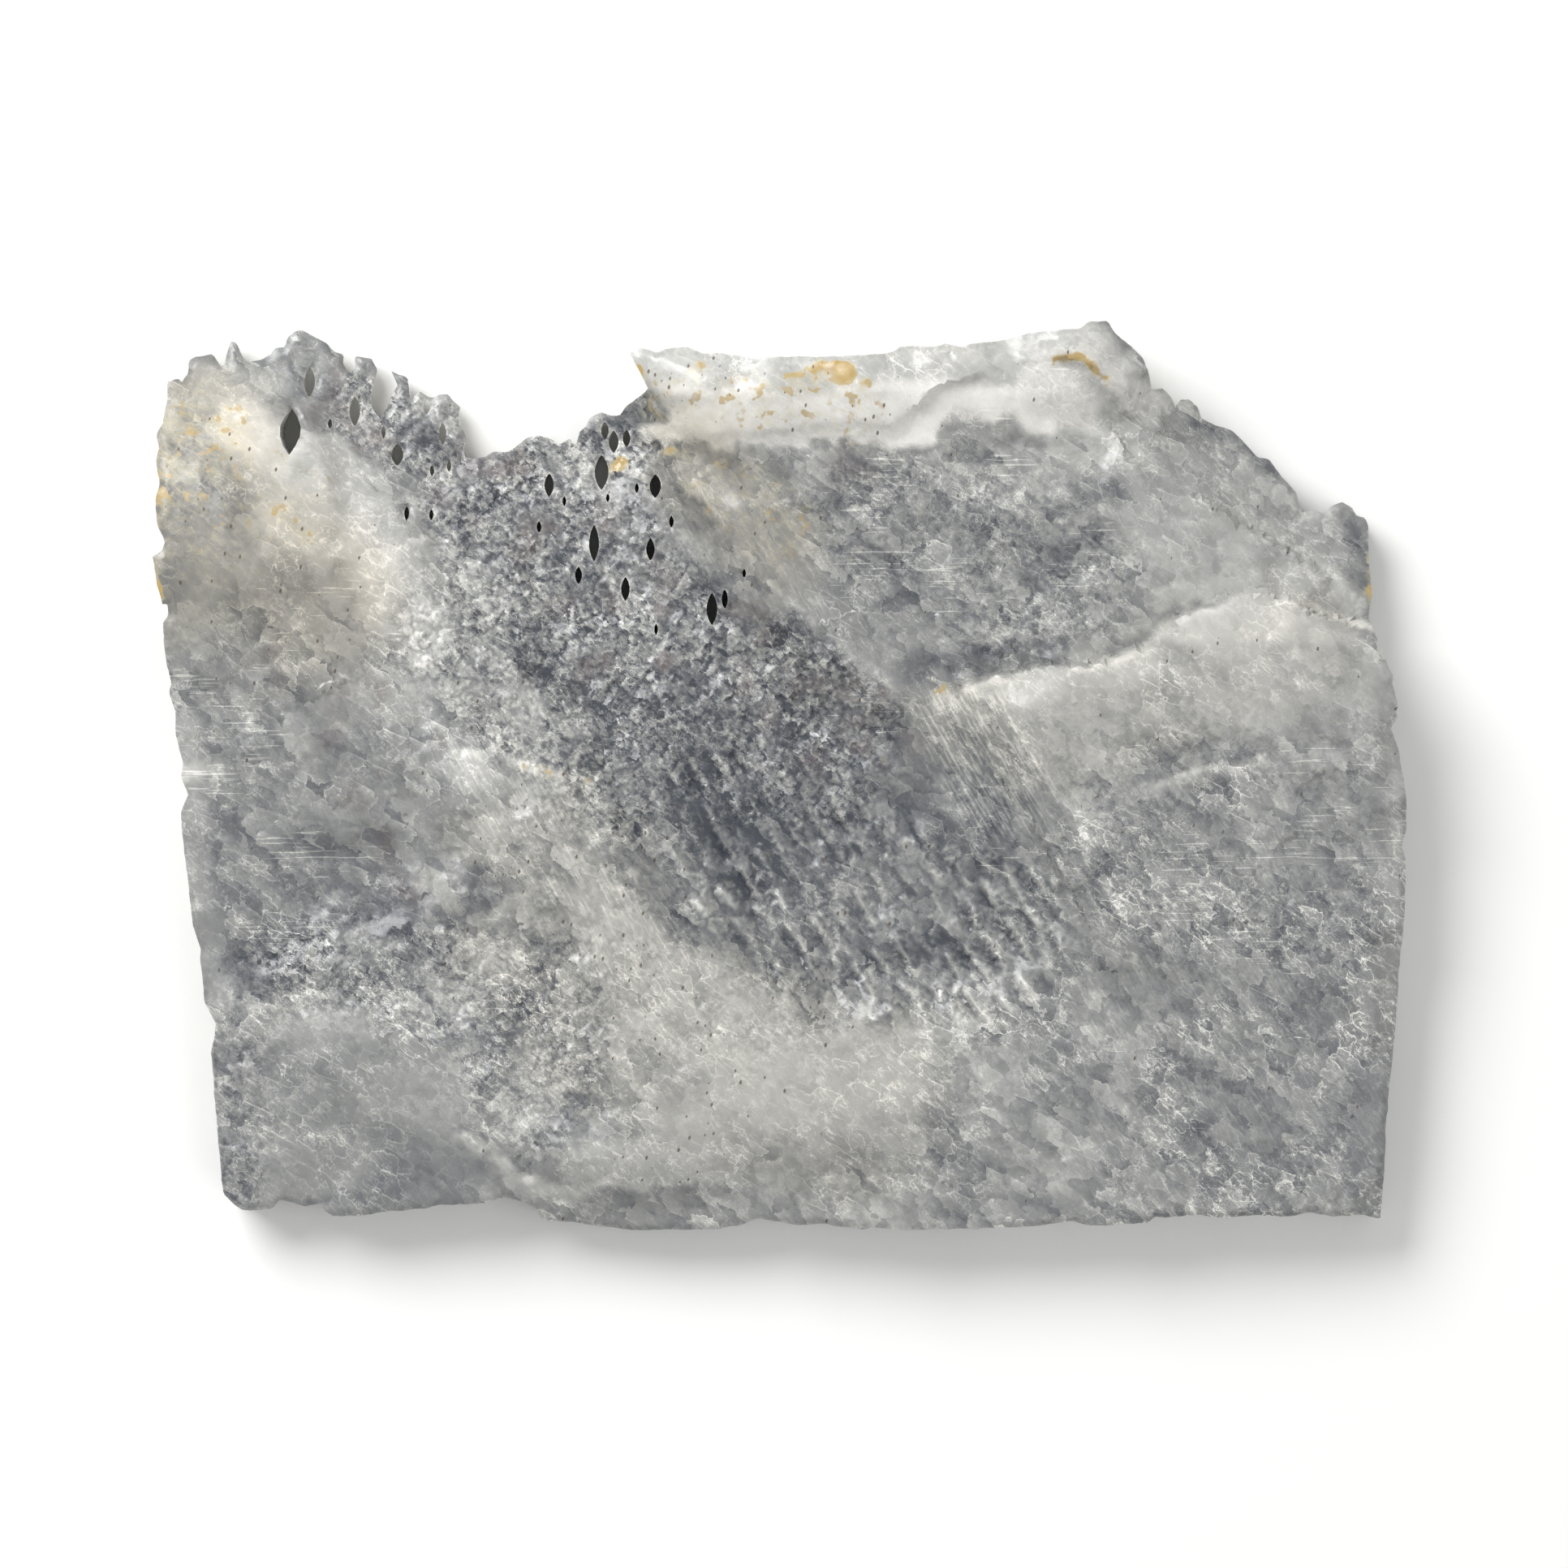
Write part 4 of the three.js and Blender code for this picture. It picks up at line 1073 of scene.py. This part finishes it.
def paintSlab(piece, vertices, triangles, front):
    # every texture's strength, kept on the mesh's points for the materials to read
    x, y, z = vertices.T
    u, v = toDrawing(x, y)
    wu, wv = warped(u, v)
    smooth = painted(wu, wv, smoothMarks, 0.0)
    # crests stand over their neighbours and pits lie under them: painted light on crests, painted
    # shade in pits
    wide = z - front.at(x, y)
    crestLightPitShade = wide - meanOfNeighbours(wide, triangles)
    crumb = painted(wu, wv, crumbMarks, 0.05)
    scallop = painted(wu, wv, scallopMarks, 0.0)
    lively = np.maximum(crumb, scallop)
    patchy = smoothstep(0.5 + 1.1 * softNoise(u, v, 40, 901, 3))
    milkAndShading = painted(wu, wv, milkAndShadingMarks, 0.5) - 0.035
    nearU = u + 5 * softNoise(u, v, 17, 971, 2)
    nearV = v + 5 * softNoise(u, v, 17, 981, 2)
    even = 1 - 0.60 * smoothstep((milkAndShading - 0.50) / 0.22)
    along, across = turned(nearU, nearV, 50)
    flaky = shards(along * 0.6, across, 17, 925) + 0.7 * shards(along * 0.7, across, 9, 935)
    cloudy = 0.04 * softNoise(u, v, 90, 911, 2) + 0.02 * softNoise(wu, wv, 30, 921, 3)
    milkAndShading = milkAndShading + cloudy * even
    milkAndShading = milkAndShading + 0.05 * flaky * even * (1 - 0.6 * lively)
    # painted highlights along edges and painted shadows beside them take the place of the tone
    edges = painted(nearU, nearV, edgeHighlightShadowMarks, 0.0)
    shown = painted(nearU, nearV, [(1.0, *mark[1:]) for mark in edgeHighlightShadowMarks], 0.0)
    broken = smoothstep(0.62 + softNoise(u, v, 26, 991, 2))
    # painted light where the relief stands above the evened front, painted shade where it lies
    # below
    milkAndShading = milkAndShading + 0.05 * np.clip(wide / 0.001, -1, 1)
    streaky = smoothstep(0.35 + 1.3 * softNoise(u * 0.6, v, 44, 931, 2))
    wispy = 0.3 + 0.9 * smoothstep(0.5 + softNoise(u, v, 60, 941, 2))
    blotchy = 0.7 + 0.6 * smoothstep(0.5 + softNoise(u, v, 15, 951, 2))
    reached = np.exp(np.minimum(wide + 0.001, 0) / slab["stainDepth"])
    fields = {
        "milkAndShading": milkAndShading + broken * (edges - milkAndShading * shown),
        "crumb": crumb * (0.45 + 0.85 * patchy),
        "hatch": painted(wu, wv, hatchMarks, 0.15) * (1 - 0.8 * scallop),
        "streak": painted(wu, wv, streakMarks, 0.12) * streaky,
        "wisp": painted(wu, wv, wispMarks, 0.5) * wispy,
        "calm": (1 - 0.70 * smooth) * even,
        "stain": painted(nearU, nearV, stainMarks, 0.0) * blotchy * reached,
        "speck": painted(wu, wv, speckMarks, 0.06),
        "warm": painted(u, v, warmMarks, 0.0),
        "purple": (0.55 * painted(wu, wv, purpleMarks, 0.0)
                   * smoothstep(1.6 * softNoise(u, v, 34, 961, 3))),
        "crestLightPitShade": (np.clip(crestLightPitShade / slab["crestHeight"], -0.6, 1.3)
                  * (0.2 + 0.8 * lively) * (1 - 0.5 * smooth)),
    }
    # painted light: the sides and back in the holes' region are painted white
    paintedHoleLight = painted(u, v, paintedHoleLightMarks, 0.0) > 0.5
    fields["sideMilkAndHoleLight"] = np.where(paintedHoleLight, 1.0, 0.36 + 0.5 * smoothstep(fields["milkAndShading"]))
    for name, values in fields.items():
        attribute = piece.data.attributes.new(name, "FLOAT", "POINT")
        attribute.data.foreach_set("value", values.astype(np.float32))


def srgb(*levels):
    # 0 to 255 screen levels as a linear colour
    shares = [level / 255 for level in levels]
    linear = [s / 12.92 if s <= 0.04045 else ((s + 0.055) / 1.055) ** 2.4 for s in shares]
    return (*linear, 1.0)


def feed(tree, socket, value):
    # links another node's socket, or sets a plain value
    if isinstance(value, bpy.types.NodeSocket):
        tree.links.new(value, socket)
    else:
        socket.default_value = value


def add(tree, kind, inputs=None, **settings):
    node = tree.nodes.new(kind)
    for name, value in settings.items():
        setattr(node, name, value)
    for name, value in (inputs or {}).items():
        feed(tree, node.inputs[name], value)
    return node


def calc(tree, operation, a, b=0.0):
    return add(tree, "ShaderNodeMath", {0: a, 1: b}, operation=operation).outputs[0]


def vectorCalc(tree, operation, *values):
    inputs = dict(enumerate(values))
    return add(tree, "ShaderNodeVectorMath", inputs, operation=operation).outputs


def product(tree, result, *values):
    for value in values:
        result = calc(tree, "MULTIPLY", result, value)
    return result


def summed(tree, result, *values):
    for value in values:
        result = calc(tree, "ADD", result, value)
    return result


def centred(tree, value, middle=0.5):
    # a value that swings about this middle, made to swing about nought
    return calc(tree, "SUBTRACT", value, middle)


def ranged(tree, value, low, high, toLow=0.0, toHigh=1.0):
    return add(tree, "ShaderNodeMapRange", {
        "Value": value, "From Min": low, "From Max": high, "To Min": toLow, "To Max": toHigh,
    }, interpolation_type="SMOOTHSTEP").outputs["Result"]


def noise(tree, vector, detail, roughness=0.6):
    return add(tree, "ShaderNodeTexNoise", {
        "Vector": vector, "Scale": 1.0, "Detail": detail, "Roughness": roughness,
        "Distortion": 0.0}, noise_dimensions="2D").outputs["Fac"]


def cellular(tree, vector, **settings):
    return add(tree, "ShaderNodeTexVoronoi", {
        "Vector": vector, "Scale": 1.0, "Randomness": 1.0},
        voronoi_dimensions="2D", **settings).outputs


def sized(tree, vector, size):
    # the vector in units of this size
    return add(tree, "ShaderNodeVectorMath", {
        0: vector, "Scale": calc(tree, "DIVIDE", 1.0, size)}, operation="SCALE").outputs[0]


def nudged(tree, vector, amount, rightward, upward):
    # the vector moved by an amount that changes over the surface
    shift = add(tree, "ShaderNodeCombineXYZ", {
        0: calc(tree, "MULTIPLY", amount, rightward),
        1: calc(tree, "MULTIPLY", amount, upward)})
    return vectorCalc(tree, "ADD", vector, shift.outputs[0])[0]


def laid(tree, vector, along, across, degrees):
    # places measured along and across a direction that points this far above the right
    return add(tree, "ShaderNodeMapping", {
        "Vector": vector, "Scale": (along, across, 1.0),
        "Rotation": (0, 0, math.radians(degrees))}, vector_type="TEXTURE").outputs[0]


def attribute(tree, name):
    return add(tree, "ShaderNodeAttribute", attribute_name=name).outputs["Fac"]


def mixed(tree, share, a, b, blend="MIX"):
    return add(tree, "ShaderNodeMix", {0: share, 6: a, 7: b},
               data_type="RGBA", blend_type=blend).outputs[2]


def facets(tree, place):
    # flat broken cells: a colour and a chance of each one's own, and a shade that slopes over it
    cells = cellular(tree, place)
    away = vectorCalc(tree, "SUBTRACT", place, cells["Position"])[0]
    slope = vectorCalc(tree, "MULTIPLY_ADD", cells["Color"], (1.0, 1.0, 0.0), (-0.5, -0.5, 0.0))[0]
    tilt = vectorCalc(tree, "DOT_PRODUCT", away, slope)["Value"]
    parts = add(tree, "ShaderNodeSeparateColor", {0: cells["Color"]}).outputs
    return {"colour": cells["Color"], "chance": parts[1],
            "shade": summed(tree, parts[2], calc(tree, "MULTIPLY", tilt, 1.4))}


def newGroup(name, inputs, outputs):
    tree = bpy.data.node_groups.new(name, "ShaderNodeTree")
    for label, kind, value in inputs:
        socket = tree.interface.new_socket(label, in_out="INPUT", socket_type="NodeSocket" + kind)
        if value is not None:
            socket.default_value = value
    for label, kind in outputs:
        tree.interface.new_socket(label, in_out="OUTPUT", socket_type="NodeSocket" + kind)
    return tree, add(tree, "NodeGroupInput").outputs, add(tree, "NodeGroupOutput").inputs


def fillGroup(tree, group, inputs):
    node = tree.nodes.new("ShaderNodeGroup")
    node.node_tree = group
    for name, value in inputs.items():
        feed(tree, node.inputs[name], value)
    return node.outputs


def makeCrumbGroup():
    # broken sugary crystal: its clumps, the bright net of their edges, and facets that each
    # lean another way
    tree, given, result = newGroup(
        "sugaryCrumbs",
        [("Vector", "Vector", None), ("Grain", "Float", 0.0012)],
        [("Clump", "Float"), ("Net", "Float"), ("Facet", "Float"), ("Lean", "Vector")])
    place = sized(tree, given["Vector"], given["Grain"])
    clumps = noise(tree, laid(tree, place, 1.9, 1.15, -40), 3.0, 0.62)
    gap = calc(tree, "ABSOLUTE", centred(tree, clumps))
    facet = facets(tree, nudged(tree, place, clumps, 3.0, 3.0))
    lean = vectorCalc(tree, "SUBTRACT", facet["colour"], (0.5, 0.5, 0.5))[0]
    tree.links.new(clumps, result["Clump"])
    tree.links.new(ranged(tree, gap, 0.0, 0.040, 1.0, 0.0), result["Net"])
    tree.links.new(facet["shade"], result["Facet"])
    tree.links.new(lean, result["Lean"])
    return tree


def makeFlakeGroup():
    # broken flakes, each with its own shade and slope of tone, and a bright edge on some
    tree, given, result = newGroup(
        "brokenFlakes",
        [("Vector", "Vector", None), ("Size", "Float", 0.0034), ("Warp", "Float", 0.5)],
        [("Shade", "Float"), ("Edge", "Float")])
    place = nudged(tree, laid(tree, sized(tree, given["Vector"], given["Size"]), 1.5, 0.8, -50),
                   given["Warp"], 1.6, 1.4)
    flake = facets(tree, place)
    away = cellular(tree, place, feature="DISTANCE_TO_EDGE")["Distance"]
    edge = product(tree, ranged(tree, away, 0.0, 0.07, 1.0, 0.0),
                   ranged(tree, flake["chance"], 0.35, 0.9))
    tree.links.new(summed(tree, flake["shade"], -0.5), result["Shade"])
    tree.links.new(edge, result["Edge"])
    return tree


def makeStreakGroup():
    # thin level lines where cleavage planes open
    tree, given, result = newGroup(
        "cleavageStreaks",
        [("Vector", "Vector", None), ("Length", "Float", 0.008), ("Gap", "Float", 0.0006),
         ("Cover", "Float", 0.5)],
        [("Streak", "Float"), ("Shade", "Float")])
    scale = add(tree, "ShaderNodeCombineXYZ", {
        0: calc(tree, "DIVIDE", 1.0, given["Length"]),
        1: calc(tree, "DIVIDE", 1.0, given["Gap"])}).outputs[0]
    lines = noise(tree, vectorCalc(tree, "MULTIPLY", given["Vector"], scale)[0], 2.0)
    bar = calc(tree, "SUBTRACT", 0.80, calc(tree, "MULTIPLY", given["Cover"], 0.21))
    tree.links.new(ranged(tree, calc(tree, "SUBTRACT", lines, bar), 0.0, 0.05), result["Streak"])
    tree.links.new(ranged(tree, lines, 0.3, 0.7), result["Shade"])
    return tree


def makeVeilGroup():
    # milky clouds inside the crystal, and thin white threads through them, each in a soft glow
    tree, given, result = newGroup(
        "milkyVeils",
        [("Vector", "Vector", None), ("Size", "Float", 0.0034)],
        [("Cloud", "Float"), ("Thread", "Float")])
    place = sized(tree, given["Vector"], given["Size"])
    cloud = noise(tree, place, 3.0)
    swirled = nudged(tree, place, cloud, 1.6, -1.4)
    threads = []
    for along, across, degrees in ((1.9, 0.75, -52), (1.5, 0.8, 14)):
        veins = noise(tree, laid(tree, swirled, along, across, degrees), 2.0)
        away = calc(tree, "ABSOLUTE", centred(tree, veins))
        core = ranged(tree, away, 0.0, 0.020, 0.75, 0.0)
        glow = calc(tree, "POWER", ranged(tree, away, 0.0, 0.10, 1.0, 0.0), 2.0)
        threads.append(summed(tree, core, calc(tree, "MULTIPLY", glow, 0.25)))
    thread = product(tree, calc(tree, "MAXIMUM", *threads), ranged(tree, cloud, 0.36, 0.60))
    tree.links.new(cloud, result["Cloud"])
    tree.links.new(thread, result["Thread"])
    return tree


def makeDirtGroup():
    # yellow-brown clay, as a thin haze and in small patches, and specks caught in the pits
    tree, given, result = newGroup(
        "clayDirt",
        [("Color", "Color", None), ("Vector", "Vector", None), ("Stain", "Float", 0.0),
         ("Speck", "Float", 0.0), ("Grain", "Float", 0.5)],
        [("Color", "Color")])
    stain = given["Stain"]
    cover = ranged(tree, calc(tree, "ADD", stain, centred(tree, given["Grain"])), 0.05, 0.95)
    tint = mixed(tree, ranged(tree, stain, 0.35, 1.0), dirt["haze"], dirt["thick"])
    hazed = mixed(tree, calc(tree, "MULTIPLY", cover, dirt["hazeShare"]), given["Color"], tint)
    patches = noise(tree, sized(tree, given["Vector"], dirt["patchSize"]), 2.0, 0.55)
    patch = ranged(tree, summed(tree, patches, calc(tree, "MULTIPLY", stain, 0.30)), 0.68, 0.76)
    clay = calc(tree, "MULTIPLY", patch, ranged(tree, stain, 0.08, 0.30, 0.0, dirt["patchShare"]))
    stained = mixed(tree, clay, hazed, dirt["patch"])
    cells = cellular(tree, laid(tree, given["Vector"], *dirt["speckApart"], -12))
    parts = add(tree, "ShaderNodeSeparateColor", {0: cells["Color"]}).outputs
    chosen = calc(tree, "LESS_THAN", parts[0], calc(tree, "MULTIPLY", given["Speck"], 0.24))
    reach = ranged(tree, parts[1], 0.0, 1.0, 0.05, 0.17)
    dot = ranged(tree, calc(tree, "SUBTRACT", cells["Distance"], reach), -0.04, 0.04, 1.0, 0.0)
    specks = product(tree, chosen, dot, dirt["speckShare"])
    tree.links.new(mixed(tree, specks, stained, dirt["speck"]), result["Color"])
    return tree


dirt = {
    "haze": srgb(214, 205, 168),
    "thick": srgb(184, 150, 78),
    "hazeShare": 0.75,
    "patch": srgb(192, 164, 102),
    "patchSize": 0.0030,
    "patchShare": 0.70,
    "speck": srgb(88, 72, 58),
    "speckShare": 0.8,
    "speckApart": (0.0015, 0.0026),
}

groups = {
    "crumbs": makeCrumbGroup(),
    "flakes": makeFlakeGroup(),
    "streaks": makeStreakGroup(),
    "veils": makeVeilGroup(),
    "dirt": makeDirtGroup(),
}

# how light the crystal is at each milkiness; the colours past 1 hold painted light, the ledge's
# brightening and the highlights on edges and crests
milkAndShadingColours = [(0.0, (70, 74, 81)), (0.25, (111, 113, 116)), (0.5, (151, 152, 150)),
               (0.75, (190, 190, 186)), (1.0, (232, 230, 224)), (1.25, (252, 250, 244))]


def milkAndShadingRamp(tree, milkAndShading):
    brightest = milkAndShadingColours[-1][0]
    ramp = add(tree, "ShaderNodeValToRGB", {"Fac": calc(tree, "DIVIDE", milkAndShading, brightest)})
    elements = ramp.color_ramp.elements
    while len(elements) < len(milkAndShadingColours):
        elements.new(0.5)
    for element, (position, levels) in zip(elements, milkAndShadingColours):
        element.position = position / brightest
        element.color = srgb(*levels)
    return ramp.outputs["Color"]


crystal = {
    "transmission": 0.18,
    "ior": 1.522,
    "absorbed": (0.86, 0.89, 0.92, 1.0),
    "absorption": 12.0,
    "warmTint": (1.0, 0.95, 0.87, 1.0),
    "purpleTint": srgb(116, 104, 104),
    "veilSize": 0.0034,
    "crumbGrain": 0.0012,
    "flakeSize": 0.0034,
    "streakLength": 0.012,
    "streakGap": 0.00055,
    "hatchLength": 0.0055,
    "hatchGap": 0.0006,
    "hatchAngle": -60,
    "facetSwing": 0.28,         # how far each pattern moves the milkiness
    "clumpSwing": 0.90,
    "flakeSwing": 0.24,
    "flakeEdge": 0.55,
    "streakWhite": 0.28,
    "hatchWhite": 0.12,
    "hatchSwing": 0.10,
    "threadWhite": 0.50,
    "cloudSwing": 0.10,
    "crestLightPitShadeSwing": 0.24,
    "netWhite": 0.26,
    "roughness": (0.22, 0.44),
    "leaning": (0.05, 0.50),    # how far facets lean where it is smooth, and where it is rough
}

# the same for the side and the back
cleaved = {
    "veilSize": 0.005,
    "crumbGrain": 0.0016,
    "streakLength": 0.016,
    "streakGap": 0.0007,
    "streakCover": 0.6,
    "cloudSwing": 0.6,
    "threadWhite": 0.22,
    "shadeSwing": 0.18,
    "streakWhite": 0.25,
    "facetSwing": 0.14,
    "clumpSwing": 0.5,
    "stain": 0.8,
    "speck": 0.05,
    "roughness": (0.14, 0.36),
    "leaning": 0.25,
}


def finishMaterial(tree, colour, roughness, normal):
    shader = add(tree, "ShaderNodeBsdfPrincipled", {
        "Base Color": colour, "Roughness": roughness, "Normal": normal,
        "IOR": crystal["ior"], "Transmission Weight": crystal["transmission"]})
    inside = add(tree, "ShaderNodeVolumeAbsorption",
                 {"Color": crystal["absorbed"], "Density": crystal["absorption"]})
    add(tree, "ShaderNodeOutputMaterial",
        {"Surface": shader.outputs[0], "Volume": inside.outputs[0]})


def newMaterial(name):
    material = bpy.data.materials.new(name)
    material.use_nodes = True
    material.node_tree.nodes.clear()
    return material, material.node_tree


def grainPlace(tree):
    return add(tree, "ShaderNodeAttribute", attribute_name="grainPlace").outputs["Vector"]


def leaning(tree, lean, amount):
    # the surface's own normal, turned a little by each facet's lean
    turn = add(tree, "ShaderNodeVectorMath", {0: lean, "Scale": amount}, operation="SCALE")
    own = add(tree, "ShaderNodeNewGeometry").outputs["Normal"]
    both = vectorCalc(tree, "ADD", own, turn.outputs[0])[0]
    return vectorCalc(tree, "NORMALIZE", both)[0]


def makeEtchedSelenite():
    material, tree = newMaterial("etchedSelenite")
    place = grainPlace(tree)
    milkAndShading, crumb, calm, wisp, hatch, streak, crestLightPitShade = (
        attribute(tree, name)
        for name in ("milkAndShading", "crumb", "calm", "wisp", "hatch", "streak", "crestLightPitShade"))
    veils = fillGroup(tree, groups["veils"], {"Vector": place, "Size": crystal["veilSize"]})
    crumbs = fillGroup(tree, groups["crumbs"], {"Vector": place, "Grain": crystal["crumbGrain"]})
    flakes = fillGroup(tree, groups["flakes"], {
        "Vector": place, "Size": crystal["flakeSize"], "Warp": veils["Cloud"]})
    streaks = fillGroup(tree, groups["streaks"], {
        "Vector": place, "Length": crystal["streakLength"], "Gap": crystal["streakGap"],
        "Cover": streak})
    hatches = fillGroup(tree, groups["streaks"], {
        "Vector": laid(tree, place, 1.0, 1.0, crystal["hatchAngle"]),
        "Length": crystal["hatchLength"], "Gap": crystal["hatchGap"], "Cover": hatch})
    rough = product(tree, crumb, calm)
    netted = summed(tree, ranged(tree, rough, 0.0, 0.8, 0.08, 1.0), product(tree, wisp, calm, 0.5))
    milkAndShading = summed(
        tree, milkAndShading,
        product(tree, centred(tree, veils["Cloud"]), calm, crystal["cloudSwing"]),
        product(tree, veils["Thread"], wisp, crystal["threadWhite"]),
        product(tree, centred(tree, crumbs["Facet"]), rough, crystal["facetSwing"]),
        product(tree, centred(tree, crumbs["Clump"]), rough, crystal["clumpSwing"]),
        product(tree, flakes["Shade"], calm, crystal["flakeSwing"]),
        product(tree, flakes["Edge"], wisp, crystal["flakeEdge"]),
        product(tree, centred(tree, crumbs["Net"], 0.25), netted, crystal["netWhite"]),
        product(tree, streaks["Streak"], crystal["streakWhite"]),
        product(tree, hatches["Streak"], crystal["hatchWhite"]),
        product(tree, centred(tree, hatches["Shade"]), hatch, crystal["hatchSwing"]),
        # painted light on crests and painted shade in pits
        product(tree, crestLightPitShade, crystal["crestLightPitShadeSwing"]))
    creamy = mixed(tree, attribute(tree, "warm"), milkAndShadingRamp(tree, milkAndShading), crystal["warmTint"],
                   "MULTIPLY")
    soiled = fillGroup(tree, groups["dirt"], {
        "Color": mixed(tree, attribute(tree, "purple"), creamy, crystal["purpleTint"]),
        "Vector": place, "Stain": attribute(tree, "stain"), "Speck": attribute(tree, "speck"),
        "Grain": crumbs["Clump"]})
    roughness = ranged(tree, veils["Cloud"], 0.3, 0.7, *crystal["roughness"])
    lean = ranged(tree, rough, 0.0, 1.0, *crystal["leaning"])
    finishMaterial(tree, soiled["Color"], roughness, leaning(tree, crumbs["Lean"], lean))
    return material


def makeCleavedSelenite():
    material, tree = newMaterial("cleavedSelenite")
    place = grainPlace(tree)
    veils = fillGroup(tree, groups["veils"], {"Vector": place, "Size": cleaved["veilSize"]})
    crumbs = fillGroup(tree, groups["crumbs"], {"Vector": place, "Grain": cleaved["crumbGrain"]})
    streaks = fillGroup(tree, groups["streaks"], {
        "Vector": place, "Length": cleaved["streakLength"], "Gap": cleaved["streakGap"],
        "Cover": cleaved["streakCover"]})
    milkAndShading = summed(
        tree, attribute(tree, "sideMilkAndHoleLight"),
        product(tree, centred(tree, veils["Cloud"]), cleaved["cloudSwing"]),
        product(tree, veils["Thread"], cleaved["threadWhite"]),
        product(tree, centred(tree, streaks["Shade"]), cleaved["shadeSwing"]),
        product(tree, streaks["Streak"], cleaved["streakWhite"]),
        product(tree, centred(tree, crumbs["Facet"]), cleaved["facetSwing"]),
        product(tree, centred(tree, crumbs["Clump"]), cleaved["clumpSwing"]))
    soiled = fillGroup(tree, groups["dirt"], {
        "Color": milkAndShadingRamp(tree, milkAndShading), "Vector": place, "Grain": crumbs["Clump"],
        "Stain": product(tree, attribute(tree, "stain"), cleaved["stain"]),
        "Speck": cleaved["speck"]})
    roughness = ranged(tree, veils["Cloud"], 0.3, 0.7, *cleaved["roughness"])
    finishMaterial(tree, soiled["Color"], roughness,
                   leaning(tree, crumbs["Lean"], cleaved["leaning"]))
    return material


crystalSlab = makeSlab()
for material in (makeEtchedSelenite(), makeCleavedSelenite()):
    crystalSlab.data.materials.append(material)
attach(crystalSlab, "root")
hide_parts("selenite_slab")
print("slab: finished")

studio = {
    "floor": (238, 238, 236),
    "floorRoughness": 0.9,
    "floorHalf": 3.0,          # the floor reaches this far from the middle
    "floorDrop": 0.0003,       # and lies this far under the slab
    "key": (24.5, 1.0, (-0.75, 0.85, 1.0)),       # power, size and place
    "fill": (6.0, 1.2, (0.9, -0.5, 1.3)),
    "aim": (0, 0, 0.01),
    "skyLevel": 0.5,
}


def makeFloor():
    mesh = bpy.data.meshes.new("floor")
    half, drop = studio["floorHalf"], studio["floorDrop"]
    corners = [(x * half, y * half, -drop) for x, y in ((-1, -1), (1, -1), (1, 1), (-1, 1))]
    mesh.from_pydata(corners, [], [(0, 1, 2, 3)])
    floor = bpy.data.objects.new("floor", mesh)
    bpy.context.scene.collection.objects.link(floor)
    material, tree = newMaterial("palePaper")
    shader = add(tree, "ShaderNodeBsdfPrincipled", {
        "Base Color": srgb(*studio["floor"]), "Roughness": studio["floorRoughness"]})
    add(tree, "ShaderNodeOutputMaterial", {"Surface": shader.outputs[0]})
    mesh.materials.append(material)


def makeLights():
    for name in ("key", "fill"):
        power, size, place = studio[name]
        light = bpy.data.lights.new(name + "Light", "AREA")
        light.energy, light.shape, light.size = power, "DISK", size
        lamp = bpy.data.objects.new(name + "Light", light)
        bpy.context.scene.collection.objects.link(lamp)
        lamp.location = place
        aim = Vector(studio["aim"]) - Vector(place)
        lamp.rotation_euler = aim.to_track_quat("-Z", "Y").to_euler()
    world = bpy.data.worlds.new("softRoom")
    world.use_nodes = True
    world.node_tree.nodes.clear()
    sky = add(world.node_tree, "ShaderNodeBackground", {
        "Color": (1, 1, 1, 1), "Strength": studio["skyLevel"]})
    add(world.node_tree, "ShaderNodeOutputWorld", {"Surface": sky.outputs[0]})
    bpy.context.scene.world = world
    bpy.context.scene.view_settings.view_transform = "Standard"


view = {
    "frameUnits": 1932,        # the square frame's side in drawing units
    "centre": (966.0, 966.0),
    "distance": 1.5,
    "planeHeight": 0.015,      # the height at which the drawing's scale holds
    "sensorWidth": 36.0,
    "clipEnd": 20.0,
}


def makeCamera():
    data = bpy.data.cameras.new("camera")
    camera = bpy.data.objects.new("camera", data)
    bpy.context.scene.collection.objects.link(camera)
    x, y = toMetres(view["centre"])
    camera.location = (x, y, view["distance"] + view["planeHeight"])
    camera.rotation_euler = (0, 0, 0)
    data.sensor_width = view["sensorWidth"]
    frameWidth = view["frameUnits"] * drawing["metresPerUnit"]
    data.lens = view["sensorWidth"] * view["distance"] / frameWidth
    data.clip_end = view["clipEnd"]
    bpy.context.scene.camera = camera


makeFloor()
makeLights()
makeCamera()
print("studio: finished")
